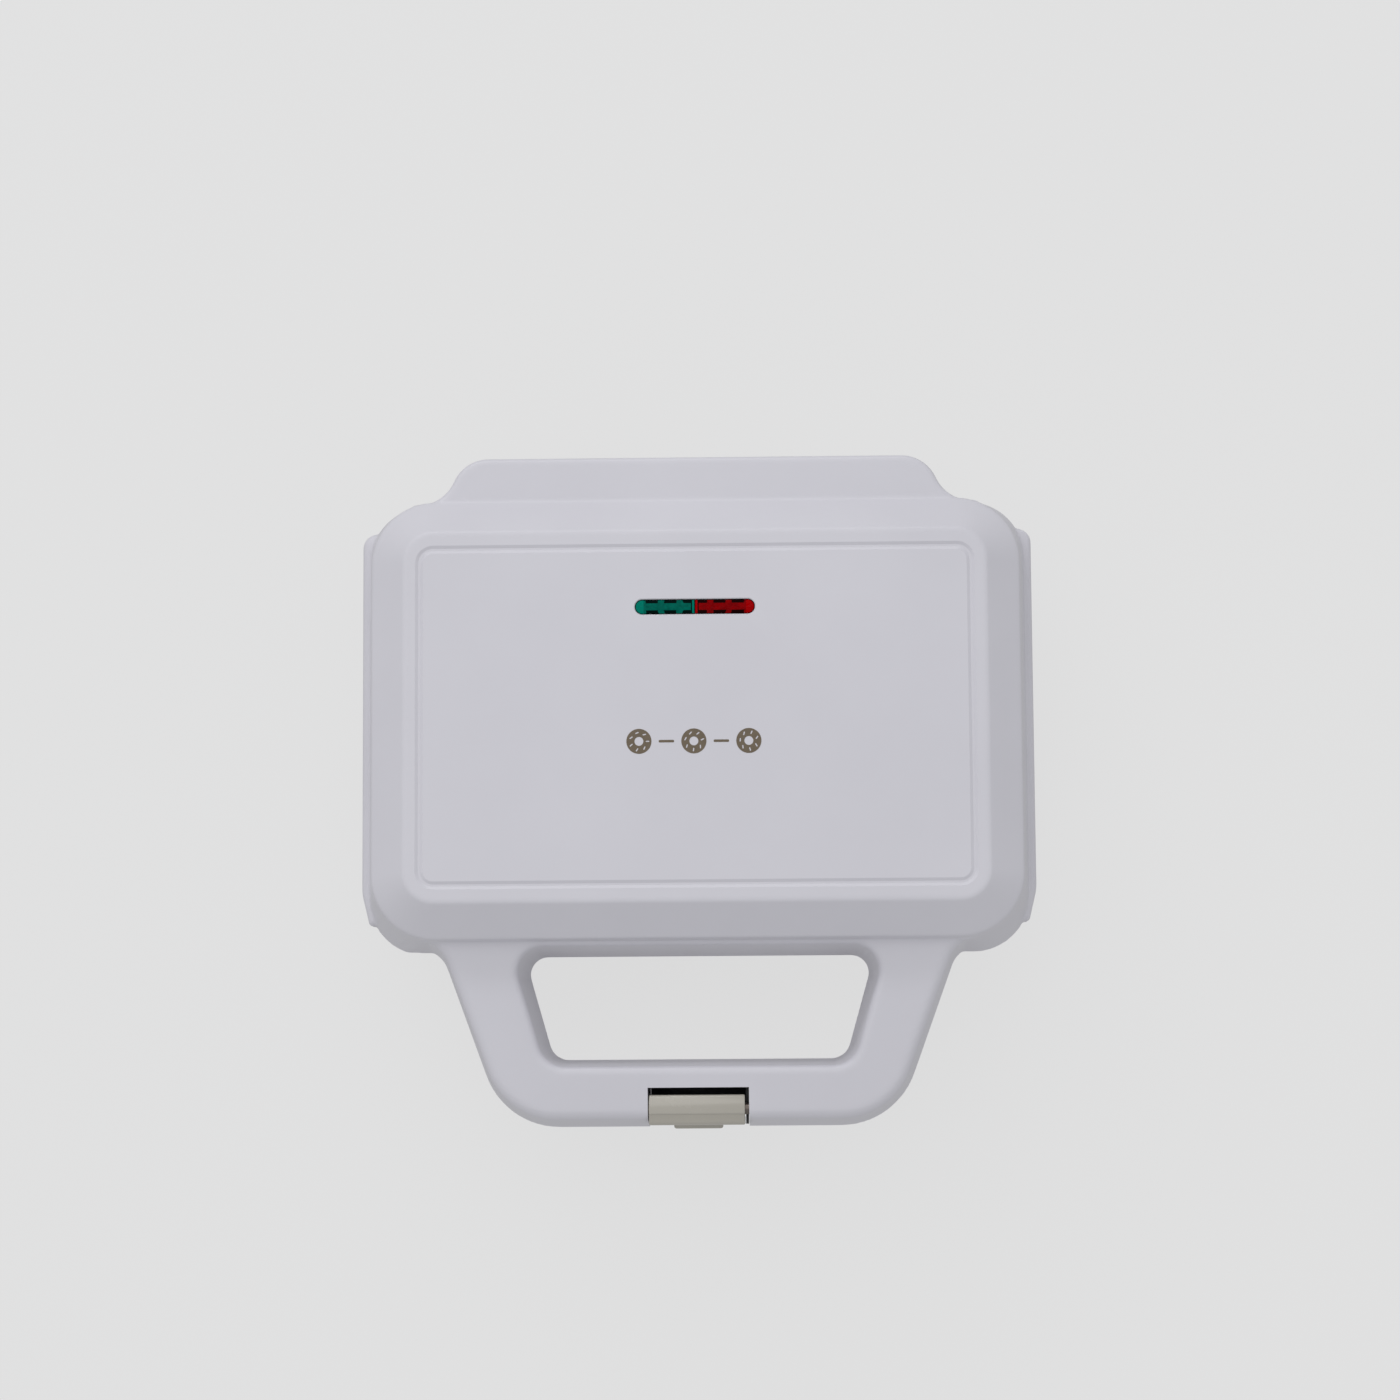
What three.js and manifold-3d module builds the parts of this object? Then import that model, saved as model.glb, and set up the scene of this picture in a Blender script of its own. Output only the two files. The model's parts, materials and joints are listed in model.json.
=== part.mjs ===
// Donut maker: a clamshell of two mirrored halves with six ring moulds each,
// a hinge at the back and a latch in the front handle.
// Millimetres, +Z up, +X right, +Y towards the hinge. The halves are drawn in a
// local frame whose z = 0 is the parting plane and whose x = y = 0 is the middle
// of the flat top; the lower half is the same geometry mirrored downwards.

import * as THREE from 'three';
import { mergeVertices } from 'three/addons/utils/BufferGeometryUtils.js';
import Module from 'manifold-3d';

const wasm = await Module();
wasm.setup();

// Overall
const overallHeight = 92;
const partingHeight = 48;
const bodyShift = 22.5;
const wall = 2.5;
const fit = 0.4;
const partingGap = 0.5;
const draftAngle = 6.5;
const draft = Math.tan(THREE.MathUtils.degToRad(draftAngle));

// Casing, measured from the parting plane
const topLevel = overallHeight - partingHeight;
const chamferLevel = 34;
const chamferRun = 12;
const bodyHalfX = 110;
const bodyHalfY = 74.4;
const bodyCorner = 22;
const grooveHalfX = 92.8;
const grooveHalfY = 56.6;
const grooveWidth = 3;
const grooveDepth = 0.8;

// Handle
const handleFrontY = -137.3;
const handleTopRear = 30;
const handleTopFront = 21.5;
const handleSlope = Math.atan2(handleTopRear - handleTopFront, 58);
const latchHalfWidth = 16.2;
const notchHalfWidth = 16.7;
const notchRearY = -121.5;

// Hinge and latch axes
const hingeY = 84;
const hingeRadius = 5;
const pinRadius = 2;
const pinFit = 0.3;
const knuckleX = 66;
const knuckleHalf = 4.4;
const latchPivotY = -131.2;
const latchPivotZ = 18;
const ledgeDepth = 12;

// Cooking plates
const plateHalfX = 103;
const plateHalfY = 67;
const plateFace = 0.4;
const plateThickness = 2.6;
const ringPitchX = 66;
const ringPitchY = 63;
const ringOuter = 29;
const ringInner = 8;
const ringDepth = 12;
const castWall = 2.2;
const elementRadius = 3.2;
const elementZ = plateFace + ringDepth + castWall + 0.3 + elementRadius;

// Indicator
const slotY = 36.5;
const slotHalfX = 20.2;
const slotHalfY = 2.55;

const round = 2;

const materials = {
  casing: new THREE.MeshStandardMaterial({ color: 0xc8c7cd, roughness: 0.38, metalness: 0 }),
  blackFrame: new THREE.MeshStandardMaterial({ color: 0x1b1a1c, roughness: 0.5, metalness: 0 }),
  coatedPlate: new THREE.MeshStandardMaterial({ color: 0x2a2a2c, roughness: 0.45, metalness: 0.3 }),
  latchPlastic: new THREE.MeshStandardMaterial({ color: 0xa09b91, roughness: 0.3, metalness: 0 }),
  greenLens: new THREE.MeshStandardMaterial({ color: 0x044a40, roughness: 0.2, metalness: 0 }),
  redLens: new THREE.MeshStandardMaterial({ color: 0x8a0406, roughness: 0.2, metalness: 0 }),
  rubber: new THREE.MeshStandardMaterial({ color: 0x2b2b2d, roughness: 0.85, metalness: 0 }),
  steel: new THREE.MeshStandardMaterial({ color: 0xb4b4b2, roughness: 0.35, metalness: 1 }),
  aluminium: new THREE.MeshStandardMaterial({ color: 0xc2c3c5, roughness: 0.4, metalness: 1 }),
  ceramic: new THREE.MeshStandardMaterial({ color: 0xe6e0d2, roughness: 0.6, metalness: 0 }),
  glass: new THREE.MeshStandardMaterial({ color: 0xd9b08c, roughness: 0.1, metalness: 0 }),
  board: new THREE.MeshStandardMaterial({ color: 0x8a7440, roughness: 0.7, metalness: 0 }),
  sleeve: new THREE.MeshStandardMaterial({ color: 0xdcd6c6, roughness: 0.9, metalness: 0 }),
};

// ---- solids and outlines ------------------------------------------------

function toSolid(geometry) {
  const bare = geometry.clone();
  bare.deleteAttribute('normal');
  bare.deleteAttribute('uv');
  const merged = mergeVertices(bare, 1e-4);
  const corners = merged.index.array;
  const triangles = [];
  for (let i = 0; i < corners.length; i += 3) {
    const [a, b, c] = [corners[i], corners[i + 1], corners[i + 2]];
    if (a !== b && b !== c && c !== a) triangles.push([a, b, c]);
  }
  const solidFrom = (order) => new wasm.Manifold(new wasm.Mesh({
    numProp: 3,
    vertProperties: new Float32Array(merged.attributes.position.array),
    triVerts: new Uint32Array(triangles.flatMap(order)),
  }));
  const solid = solidFrom((triangle) => triangle);
  return solid.volume() > 0 ? solid : solidFrom(([a, b, c]) => [a, c, b]);
}

function toGeometry(solid) {
  const mesh = solid.getMesh();
  const geometry = new THREE.BufferGeometry();
  geometry.setAttribute('position', new THREE.BufferAttribute(mesh.vertProperties, 3));
  geometry.setIndex(new THREE.BufferAttribute(mesh.triVerts, 1));
  geometry.computeVertexNormals();
  return geometry;
}

function joined(solids) {
  return solids.reduce((whole, next) => whole.add(next));
}

// A polygon of corners [x, y, radius] with its corners rounded, as loop points.
function roundedOutline(corners, divisions = round) {
  const points = [];
  corners.forEach(([x, y, radius], i) => {
    const corner = new THREE.Vector2(x, y);
    const [bx, by] = corners[(i + corners.length - 1) % corners.length];
    const [ax, ay] = corners[(i + 1) % corners.length];
    const back = new THREE.Vector2(bx, by).sub(corner).normalize();
    const ahead = new THREE.Vector2(ax, ay).sub(corner).normalize();
    if (!radius) {
      points.push(corner);
      return;
    }
    const half = Math.acos(THREE.MathUtils.clamp(back.dot(ahead), -1, 1)) / 2;
    const reach = radius / Math.tan(half);
    const start = corner.clone().addScaledVector(back, reach);
    const end = corner.clone().addScaledVector(ahead, reach);
    const middle = back.add(ahead).normalize().multiplyScalar(radius / Math.sin(half)).add(corner);
    const from = start.clone().sub(middle).angle();
    let turn = end.clone().sub(middle).angle() - from;
    if (turn > Math.PI) turn -= 2 * Math.PI;
    if (turn < -Math.PI) turn += 2 * Math.PI;
    const steps = Math.max(2, Math.ceil(Math.abs(turn) / (Math.PI / 2) * 2 * divisions));
    for (let k = 0; k <= steps; k += 1) {
      const angle = from + turn * k / steps;
      points.push(new THREE.Vector2(Math.cos(angle), Math.sin(angle)).multiplyScalar(radius).add(middle));
    }
  });
  return THREE.ShapeUtils.isClockWise(points) ? points.reverse() : points;
}

function rectangle(halfX, halfY, radius, x = 0, y = 0) {
  return roundedOutline([
    [x + halfX, y - halfY, radius],
    [x + halfX, y + halfY, radius],
    [x - halfX, y + halfY, radius],
    [x - halfX, y - halfY, radius],
  ]);
}

// Moves every side of a loop outwards by `grow`.
function grown(points, grow) {
  return points.map((point, i) => {
    const before = points[(i + points.length - 1) % points.length];
    const after = points[(i + 1) % points.length];
    const one = point.clone().sub(before).normalize();
    const two = after.clone().sub(point).normalize();
    const normal = new THREE.Vector2(one.y + two.y, -one.x - two.x);
    return point.clone().addScaledVector(normal, grow / (1 + one.dot(two)));
  });
}

// A closed body through copies of one loop: levels are [z, grow].
function loft(points, levels) {
  const rings = levels.map(([z, grow]) => grown(points, grow).map((p) => [p.x, p.y, z]));
  const count = points.length;
  const index = [];
  for (let level = 0; level + 1 < levels.length; level += 1) {
    for (let i = 0; i < count; i += 1) {
      const a = level * count + i;
      const b = level * count + (i + 1) % count;
      index.push(a, b, b + count, a, b + count, a + count);
    }
  }
  const top = (levels.length - 1) * count;
  const cap = THREE.ShapeUtils.triangulateShape(points, []);
  cap.forEach(([a, b, c]) => index.push(a, c, b, top + a, top + b, top + c));
  const geometry = new THREE.BufferGeometry();
  geometry.setAttribute('position', new THREE.Float32BufferAttribute(rings.flat(2), 3));
  geometry.setIndex(index);
  return toSolid(geometry);
}

function block(x0, x1, y0, y1, z0, z1) {
  const geometry = new THREE.BoxGeometry(x1 - x0, y1 - y0, z1 - z0);
  geometry.translate((x0 + x1) / 2, (y0 + y1) / 2, (z0 + z1) / 2);
  return toSolid(geometry);
}

function post(x, y, z0, z1, radius, sides = 12) {
  const geometry = new THREE.CylinderGeometry(radius, radius, z1 - z0, sides);
  geometry.rotateX(Math.PI / 2);
  geometry.translate(x, y, (z0 + z1) / 2);
  return toSolid(geometry);
}

function rodAlongX(x0, x1, y, z, radius, sides = 12) {
  const geometry = new THREE.CylinderGeometry(radius, radius, x1 - x0, sides);
  geometry.rotateZ(Math.PI / 2);
  geometry.translate((x0 + x1) / 2, y, z);
  return toSolid(geometry);
}

// A solid turned about Z from a profile of [radius, z] points that closes on itself.
function turned(profile, sides = 20, x = 0, y = 0) {
  const points = profile.map(([radius, z]) => new THREE.Vector2(radius, z));
  const geometry = new THREE.LatheGeometry([...points, points[0]], sides);
  geometry.rotateX(Math.PI / 2);
  geometry.translate(x, y, 0);
  return toSolid(geometry);
}

// A round bar along a smooth curve through points.
function bar(points, radius, steps, sides = 8) {
  const path = new THREE.CatmullRomCurve3(points.map((p) => new THREE.Vector3(...p)));
  const section = new THREE.Shape();
  section.absarc(0, 0, radius, 0, 2 * Math.PI);
  const geometry = new THREE.ExtrudeGeometry(section, {
    extrudePath: path, steps, curveSegments: sides / 2, bevelEnabled: false,
  });
  return toSolid(geometry);
}

// A list of corners on the right, repeated in mirror order on the left.
function symmetric(corners) {
  return [...corners, ...corners.map(([x, y, radius]) => [-x, y, radius]).reverse()];
}

// ---- casing -------------------------------------------------------------

const bodyOutline = rectangle(bodyHalfX, bodyHalfY, bodyCorner);
const grooveCorner = 4.7;
const handleOutline = roundedOutline(symmetric([
  [98, -70, 0],
  [98, -76.5, 0],
  [89.2, -76.5, 6],
  [67, handleFrontY, 27],
]));
const holeOutline = roundedOutline(symmetric([
  [60.2, -79, 6],
  [50.1, -114.3, 6.7],
]));
const housingOutline = roundedOutline(symmetric([
  [98, 70, 0],
  [98, 73.2, 0],
  [84.3, 73.2, 8],
  [79.6, 89.2, 10],
]));
const railCorners = [
  [106, 66.8, 0],
  [116, 66.8, 4.5],
  [116, -57, 14],
  [113.6, -68, 1.5],
  [106, -68, 0],
];
const frameScrews = [[68, -97, 16], [-68, -97, 16], [44, 84, 16], [-44, 84, 16]];

// How far the drafted walls stand out from the chamfer's edge at a level.
function skirtGrow(z) {
  return (chamferLevel - z) * draft;
}

function bodySolid() {
  return loft(bodyOutline, [
    [partingGap, skirtGrow(partingGap)],
    [chamferLevel, 0],
    [topLevel, -chamferRun],
  ]);
}

function bodyCavity() {
  const slope = chamferRun / (topLevel - chamferLevel);
  const inset = wall * Math.hypot(slope, 1);
  const ceiling = topLevel - wall;
  const drop = (inset - wall) / (slope + draft);
  return loft(bodyOutline, [
    [-1, skirtGrow(-1) - wall],
    [chamferLevel - drop, skirtGrow(chamferLevel - drop) - wall],
    [ceiling, -(ceiling - chamferLevel) * slope - inset],
  ]);
}

// Everything above the handle's sloping top, lowered by `drop`.
function aboveHandle(drop) {
  const geometry = new THREE.BoxGeometry(260, 140, 40);
  geometry.translate(0, -30, 20);
  geometry.rotateX(handleSlope);
  geometry.translate(0, -76, handleTopRear - drop);
  return toSolid(geometry);
}

function handleSolid(inset) {
  const low = partingGap - (inset ? 1.5 : 0);
  const high = handleTopRear + 6;
  const shrink = (z) => (partingGap - z) * draft;
  const outer = loft(handleOutline, [[low, shrink(low) - inset], [high, shrink(high) - inset]]);
  const hole = loft(holeOutline, [[low - 1, inset - shrink(low - 1)], [high + 1, inset - shrink(high + 1)]]);
  return outer.subtract(hole).subtract(aboveHandle(inset));
}

function housingSolid(bottom, top, inset) {
  return loft(housingOutline, [[bottom, skirtGrow(bottom) - inset], [top, skirtGrow(top) - inset]]);
}

function railSolid(side) {
  const outline = roundedOutline(railCorners.map(([x, y, radius]) => [side * x, y, radius]));
  return loft(outline, [[partingGap, 0], [5, 0], [6.2, -1.2]]);
}

// The space that the inner frame fills, up to `top`, a little larger by `extra`.
function frameSpace(bottom, top, extra, withHousing) {
  const levels = (grow) => [
    [bottom, skirtGrow(bottom) + grow],
    [top, skirtGrow(top) + grow],
  ];
  const grow = extra - wall - fit;
  const handleShift = -skirtGrow(partingGap);
  const body = loft(bodyOutline, levels(grow));
  const handle = loft(handleOutline, levels(grow + handleShift));
  const hole = loft(holeOutline, [
    [bottom - 1, wall + fit - extra + (bottom - 1) * draft],
    [top + 1, wall + fit - extra + (top + 1) * draft],
  ]);
  const parts = [body, handle.subtract(hole)];
  if (withHousing) parts.push(loft(housingOutline, levels(grow)));
  return joined(parts);
}

function latchNotch(halfWidth, rearY, bottom, top) {
  return block(-halfWidth, halfWidth, -145, rearY, bottom, top);
}

// Holes, bosses and hollows that both halves of the casing share.
function casingHalf(isUpper) {
  const body = bodySolid();
  const housingBottom = isUpper ? partingGap : ledgeDepth;
  const outside = joined([
    body,
    handleSolid(0),
    housingSolid(housingBottom, chamferLevel, 0),
    railSolid(1),
    railSolid(-1),
  ]);
  const handleHollow = handleSolid(wall)
    .subtract(block(-110, 110, -79.5, -60, -3, 40))
    .subtract(latchNotch(notchHalfWidth + 3.2, notchRearY + wall, -2, handleTopRear));
  const hollowBottom = isUpper ? -1 : ledgeDepth + wall;
  const housingHollow = housingSolid(hollowBottom, chamferLevel - wall, wall).subtract(body);
  let shell = outside
    .subtract(bodyCavity())
    .subtract(handleHollow)
    .subtract(housingHollow);
  const screws = frameScrews.filter(([, y]) => isUpper || y < 0);
  screws.forEach(([x, y]) => {
    const ceiling = y < 0 ? handleTopRear - 4.5 : chamferLevel - 1;
    shell = shell.add(post(x, y, 3, ceiling, 3.6));
  });
  screws.forEach(([x, y, depth]) => {
    shell = shell.subtract(post(x, y, 0, depth, 1.6));
  });
  return shell
    .subtract(frameSpace(-1, 3.5, fit, isUpper))
    .subtract(latchNotch(notchHalfWidth, notchRearY, -1, handleTopRear))
    .subtract(block(-10, 10, 70, 80, isUpper ? 7 : 17, isUpper ? 23 : 28))
    .decompose()
    .reduce((largest, piece) => (piece.volume() > largest.volume() ? piece : largest));
}

function upperShell() {
  let shell = casingHalf(true);
  const grooveOut = grown(rectangle(grooveHalfX, grooveHalfY, grooveCorner), grooveWidth / 2);
  const grooveIn = grown(rectangle(grooveHalfX, grooveHalfY, grooveCorner), -grooveWidth / 2);
  const groove = loft(grooveOut, [[topLevel - grooveDepth, -0.6], [topLevel + 1, 0.8]])
    .subtract(loft(grooveIn, [[topLevel - 2, 0.6], [topLevel + 1, -0.8]]));
  const slot = loft(rectangle(slotHalfX, slotHalfY, slotHalfY - 0.05, 0, slotY), [[38, 0], [46, 0]]);
  [-1, 1].forEach((side) => {
    [knuckleX - knuckleHalf - 2, knuckleX + knuckleHalf + 2].forEach((x) => {
      const rib = block(side * x - 1.3, side * x + 1.3, 79.2, 90, 0.5, chamferLevel - 2);
      const eye = rodAlongX(side * x - 1.3, side * x + 1.3, hingeY, 0, hingeRadius, 16);
      shell = shell.add(rib).add(eye);
    });
    const post3 = post(side * 26, slotY, 33.3, topLevel - 2, 2.6);
    shell = shell.add(post3).subtract(post(side * 26, slotY, 32, 40, 1.3));
    shell = shell
      .subtract(rodAlongX(side * knuckleX - 9, side * knuckleX + 9, hingeY, 0, pinRadius + pinFit))
      .subtract(block(side * knuckleX - 4.8, side * knuckleX + 4.8, 82, 96, -1, 8.5));
  });
  return shell
    .subtract(groove)
    .subtract(slot)
    .subtract(block(-4.5, 4.5, 82, 96, -1, 8.5))
    .subtract(rodAlongX(-19, 19, latchPivotY, latchPivotZ, pinRadius + pinFit));
}

function lowerShell() {
  let shell = casingHalf(false);
  [-1, 1].forEach((side) => {
    const x = side * knuckleX;
    const eye = rodAlongX(x - knuckleHalf, x + knuckleHalf, hingeY, 0, hingeRadius, 16);
    const stem = block(x - knuckleHalf, x + knuckleHalf, 79.4, 88.6, 0, ledgeDepth + 1);
    shell = shell
      .add(eye)
      .add(stem)
      .subtract(rodAlongX(x - 9, x + 9, hingeY, 0, pinRadius + pinFit));
  });
  footPlaces.forEach(([x, y]) => {
    shell = shell.subtract(post(x, y, 38, 46, 2.6));
  });
  for (let i = -3; i <= 3; i += 1) {
    shell = shell.subtract(block(i * 9 - 1.6, i * 9 + 1.6, -22, 22, 38, 46));
  }
  const glandHole = post(0, 0, -8, 8, 5.5, 16).rotate([90 + draftAngle, 0, 0]);
  return shell
    .subtract(post(0, hingeY, ledgeDepth - 1, ledgeDepth + wall + 1, 3.4))
    .subtract(glandHole.translate([glandX, 90, glandDepth]));
}

const footPlaces = [[84, 48], [-84, 48], [84, -48], [-84, -48]];
const glandX = -34;
const glandDepth = 23;

// ---- inner frames -------------------------------------------------------

const plateScrews = [[100.6, 22], [100.6, -22], [-100.6, 22], [-100.6, -22]];

function innerFrame(isUpper) {
  const face = partingGap + 0.1;
  const ledge = loft(bodyOutline, [[3, skirtGrow(3) - wall - 1], [5.4, skirtGrow(5.4) - wall - 1]]);
  let frame = frameSpace(face, 3.1, 0, isUpper)
    .add(ledge)
    .subtract(loft(rectangle(plateHalfX + fit, plateHalfY + fit, 6), [[-1, 0], [3.3, 0]]))
    .subtract(loft(rectangle(98.2, 63.6, 8), [[-1, 0], [8, 0]]))
    .subtract(latchNotch(notchHalfWidth, -124, -1, 8))
    .add(block(-16.3, 16.3, -124, -121.9, face, 19));
  if (isUpper) {
    [-1, 1].forEach((side) => {
      const x = side * knuckleX;
      frame = frame.subtract(block(x - 8.6, x + 8.6, 78.6, 96, -1, 8));
    });
    frame = frame.subtract(block(-5, 5, 80, 96, -1, 8));
  } else {
    frame = frame.add(block(-16.3, 16.3, -132.1, -122, 9, 12));
  }
  frameScrews.filter(([, y]) => isUpper || y < 0).forEach(([x, y]) => {
    frame = frame.subtract(post(x, y, -1, 8, 1.6)).subtract(post(x, y, -1, 2.1, 3.1));
  });
  plateScrews.forEach(([x, y]) => {
    frame = frame.subtract(post(x, y, 2, 8, 1.6));
  });
  return frame;
}

// ---- cooking plates, elements and reflectors ----------------------------

const ringPlaces = [-1, 0, 1].flatMap((column) => [-1, 1].map(
  (row) => [column * ringPitchX, row * ringPitchY / 2],
));
const reflectorPosts = [[33, 0], [-33, 0]];

function cookPlate() {
  const castBottom = plateFace + ringDepth + castWall;
  const middle = (ringOuter + ringInner) / 2;
  const half = (ringOuter - ringInner) / 2;
  let plate = loft(rectangle(plateHalfX, plateHalfY, 6), [
    [plateFace, 0],
    [plateFace + plateThickness, -0.3],
  ]);
  ringPlaces.forEach(([x, y]) => {
    plate = plate.add(turned([
      [ringInner - 2.6, 2.5],
      [ringInner - 1, castBottom],
      [ringOuter - 2, castBottom],
      [ringOuter + 2.2, 2.5],
    ], 16, x, y));
  });
  const groove = [[ringOuter, -1]];
  for (let step = 0; step <= 5; step += 1) {
    const angle = Math.PI * step / 5;
    groove.push([middle + half * Math.cos(angle), plateFace + ringDepth * Math.sin(angle)]);
  }
  groove.push([ringInner, -1]);
  ringPlaces.forEach(([x, y]) => {
    plate = plate.subtract(turned(groove, 16, x, y));
  });
  reflectorPosts.forEach(([x, y]) => {
    plate = plate.add(post(x, y, 2.5, 21.4, 4.5)).subtract(post(x, y, 13, 22, 1.6, 8));
  });
  plateScrews.forEach(([x, y]) => {
    plate = plate.subtract(post(x, y, 1.3, 4, 1.6, 8));
  });
  return plate;
}

function heatingElement() {
  const corners = [[20, 62], [22, 45], [42, 38], [78, 35], [88, 20], [88, -20], [78, -35], [40, -38]];
  const right = corners.map(([x, y]) => [x, y, elementZ]);
  const left = [...right].reverse().map(([x, y, z]) => [-x, y, z]);
  return bar([...right, ...left], elementRadius, 40, 6);
}

function reflector() {
  let tray = loft(rectangle(95, 66.5, 10), [[19.6, 0], [22.5, 0]])
    .subtract(loft(rectangle(95, 66.5, 10), [[18, -0.8], [21.7, -0.8]]));
  reflectorPosts.forEach(([x, y]) => {
    tray = tray.subtract(post(x, y, 18, 24, 1.7, 8));
  });
  return tray;
}

// A pan-head screw standing on its head at `seat`, its shank going to `tip`.
function screw(x, y, seat, tip, headRadius = 2.7) {
  const away = Math.sign(seat - tip);
  const head = post(x, y, Math.min(seat, seat + 1.4 * away), Math.max(seat, seat + 1.4 * away), headRadius, 8);
  const shank = post(x, y, Math.min(seat + away, tip), Math.max(seat + away, tip), 1.25, 6);
  return head.add(shank);
}

// ---- latch, hinge and feet ----------------------------------------------

function latchClip() {
  const x = latchHalfWidth;
  const barrel = rodAlongX(-x, x, latchPivotY, latchPivotZ, 4.9, 24);
  const arm = block(-x, x, -136.2, -133.8, -17.5, latchPivotZ);
  const hook = block(-x + 2, x - 2, -134, -132.8, -15.4, -12.5);
  const tab = block(-7.6, 7.6, -138.2, -136, -17.5, -12);
  return joined([barrel, arm, hook, tab])
    .subtract(rodAlongX(-20, 20, latchPivotY, latchPivotZ, pinRadius + pinFit));
}

function rubberFoot(x, y) {
  return turned([
    [0, 40], [2.6, 40], [3.1, 41.1], [2.2, 41.1], [2.2, 44.3],
    [9.5, 44.3], [8.6, 48], [0, 48],
  ], 12, x, y);
}

function cordGland() {
  const ring = turned([[3.6, -2], [6.8, -2], [6.8, -0.4], [5, -0.4], [5, 4.5], [3.6, 4.5]], 16);
  return ring.rotate([90 + draftAngle, 0, 0]).translate([glandX, 90.4, glandDepth]);
}

// ---- electrics ----------------------------------------------------------

function lens(side) {
  const edge = (reach, halfY, radius) => roundedOutline([
    [side * 0.2, slotY - halfY, 0],
    [side * reach, slotY - halfY, radius],
    [side * reach, slotY + halfY, radius],
    [side * 0.2, slotY + halfY, 0],
  ]);
  const window = loft(edge(slotHalfX - 0.3, slotHalfY - 0.3, 2.2), [[40, 0], [43.8, 0]]);
  const flange = loft(edge(slotHalfX + 1.2, slotHalfY + 1, 2.6), [[39.2, 0], [41.2, 0]]);
  return window.add(flange);
}

function lampBoard() {
  const board = block(-30, 30, slotY - 6.5, slotY + 6.5, 31.5, 33);
  return board.subtract(post(26, slotY, 30, 34, 1.6)).subtract(post(-26, slotY, 30, 34, 1.6));
}

function neonLamp(side) {
  return rodAlongX(side * 10 - 6, side * 10 + 6, slotY, 36.1, 2.6, 12);
}

function thermostat() {
  const can = turned([[0, 14.9], [8.6, 14.9], [8.6, 18.4], [7, 18.4], [7, 21.2], [0, 21.2]], 16);
  return can.add(block(6, 14, -2, 2, 19.4, 20.2)).add(block(-14, -6, -2, 2, 19.4, 20.2));
}

function terminalBlock() {
  const body = block(-22, 22, 52, 62, 27, 37);
  return [-14, 0, 14].reduce((left, x) => left.subtract(post(x, 57, 33, 38, 2.4, 10)), body);
}

// ---- assembly -----------------------------------------------------------

const donutMaker = new THREE.Group();

function place(name, solid, material, isUpper) {
  const geometry = toGeometry(solid);
  if (!isUpper) {
    geometry.scale(1, 1, -1);
    const index = geometry.index.array;
    for (let i = 0; i < index.length; i += 3) {
      [index[i], index[i + 1]] = [index[i + 1], index[i]];
    }
    geometry.computeVertexNormals();
  }
  const mesh = new THREE.Mesh(geometry, material);
  mesh.name = name;
  mesh.position.set(0, bodyShift, partingHeight);
  donutMaker.add(mesh);
}

[true, false].forEach((isUpper) => {
  const half = isUpper ? 'upper' : 'lower';
  place(`${half}_shell`, isUpper ? upperShell() : lowerShell(), materials.casing, isUpper);
  place(`${half}_inner_frame`, innerFrame(isUpper), materials.blackFrame, isUpper);
  place(`${half}_cook_plate`, cookPlate(), materials.coatedPlate, isUpper);
  place(`${half}_heating_element`, heatingElement(), materials.steel, isUpper);
  place(`${half}_reflector`, reflector(), materials.aluminium, isUpper);
  frameScrews.filter(([, y]) => isUpper || y < 0).forEach(([x, y, depth], i) => {
    place(`${half}_frame_screw_${i + 1}`, screw(x, y, 1.8, depth - 1), materials.steel, isUpper);
  });
  plateScrews.forEach(([x, y], i) => {
    place(`${half}_plate_screw_${i + 1}`, screw(x, y, 5.7, 1.6), materials.steel, isUpper);
  });
  reflectorPosts.forEach(([x, y], i) => {
    place(`${half}_reflector_screw_${i + 1}`, screw(x, y, 22.8, 14), materials.steel, isUpper);
  });
});

[-1, 1].forEach((side) => {
  const hand = side < 0 ? 'left' : 'right';
  const colour = side < 0 ? 'green' : 'red';
  const x = side * knuckleX;
  place(`hinge_pin_${hand}`, rodAlongX(x - 8.4, x + 8.4, hingeY, 0, pinRadius), materials.steel, false);
  place(`${colour}_lens`, lens(side), materials[`${colour}Lens`], true);
  place(`${colour}_neon_lamp`, neonLamp(side), materials.glass, true);
  place(`lamp_board_screw_${hand}`, screw(side * 26, slotY, 31.2, 39, 2.2), materials.steel, true);
});

place('lamp_board', lampBoard(), materials.board, true);
place('latch_pin', rodAlongX(-18.6, 18.6, latchPivotY, latchPivotZ, pinRadius), materials.steel, true);
place('latch_clip', latchClip(), materials.latchPlastic, true);
place('lid_wiring', bar([
  [0, 84, 2.6], [0, 83, 8], [0, 78, 14], [0, 71.5, 20], [0, 66, 26], [0, 54, 28.8], [0, 42, 29.2],
], 1.8, 16, 6), materials.sleeve, true);

footPlaces.forEach(([x, y], i) => {
  place(`rubber_foot_${i + 1}`, rubberFoot(x, y), materials.rubber, false);
});
place('thermostat', thermostat(), materials.ceramic, false);
place('thermal_fuse', rodAlongX(-16, 16, 42, 27, 2.4), materials.steel, false);
place('terminal_block', terminalBlock(), materials.ceramic, false);
place('cord_gland', cordGland(), materials.blackFrame, false);
place('hinge_sleeve', bar([[0, 84, 3], [0, 84, 12], [0, 84, 20], [0, 80, 24], [0, 72, 25]], 2.4, 14),
  materials.sleeve, false);
place('base_wiring', bar([[0, 71.3, 25], [0, 67, 26], [0, 63.2, 28]], 2, 6, 6), materials.sleeve, false);

export default donutMaker;
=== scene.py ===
import json
import math

import bmesh
import bpy
from mathutils import Matrix, Vector


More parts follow.
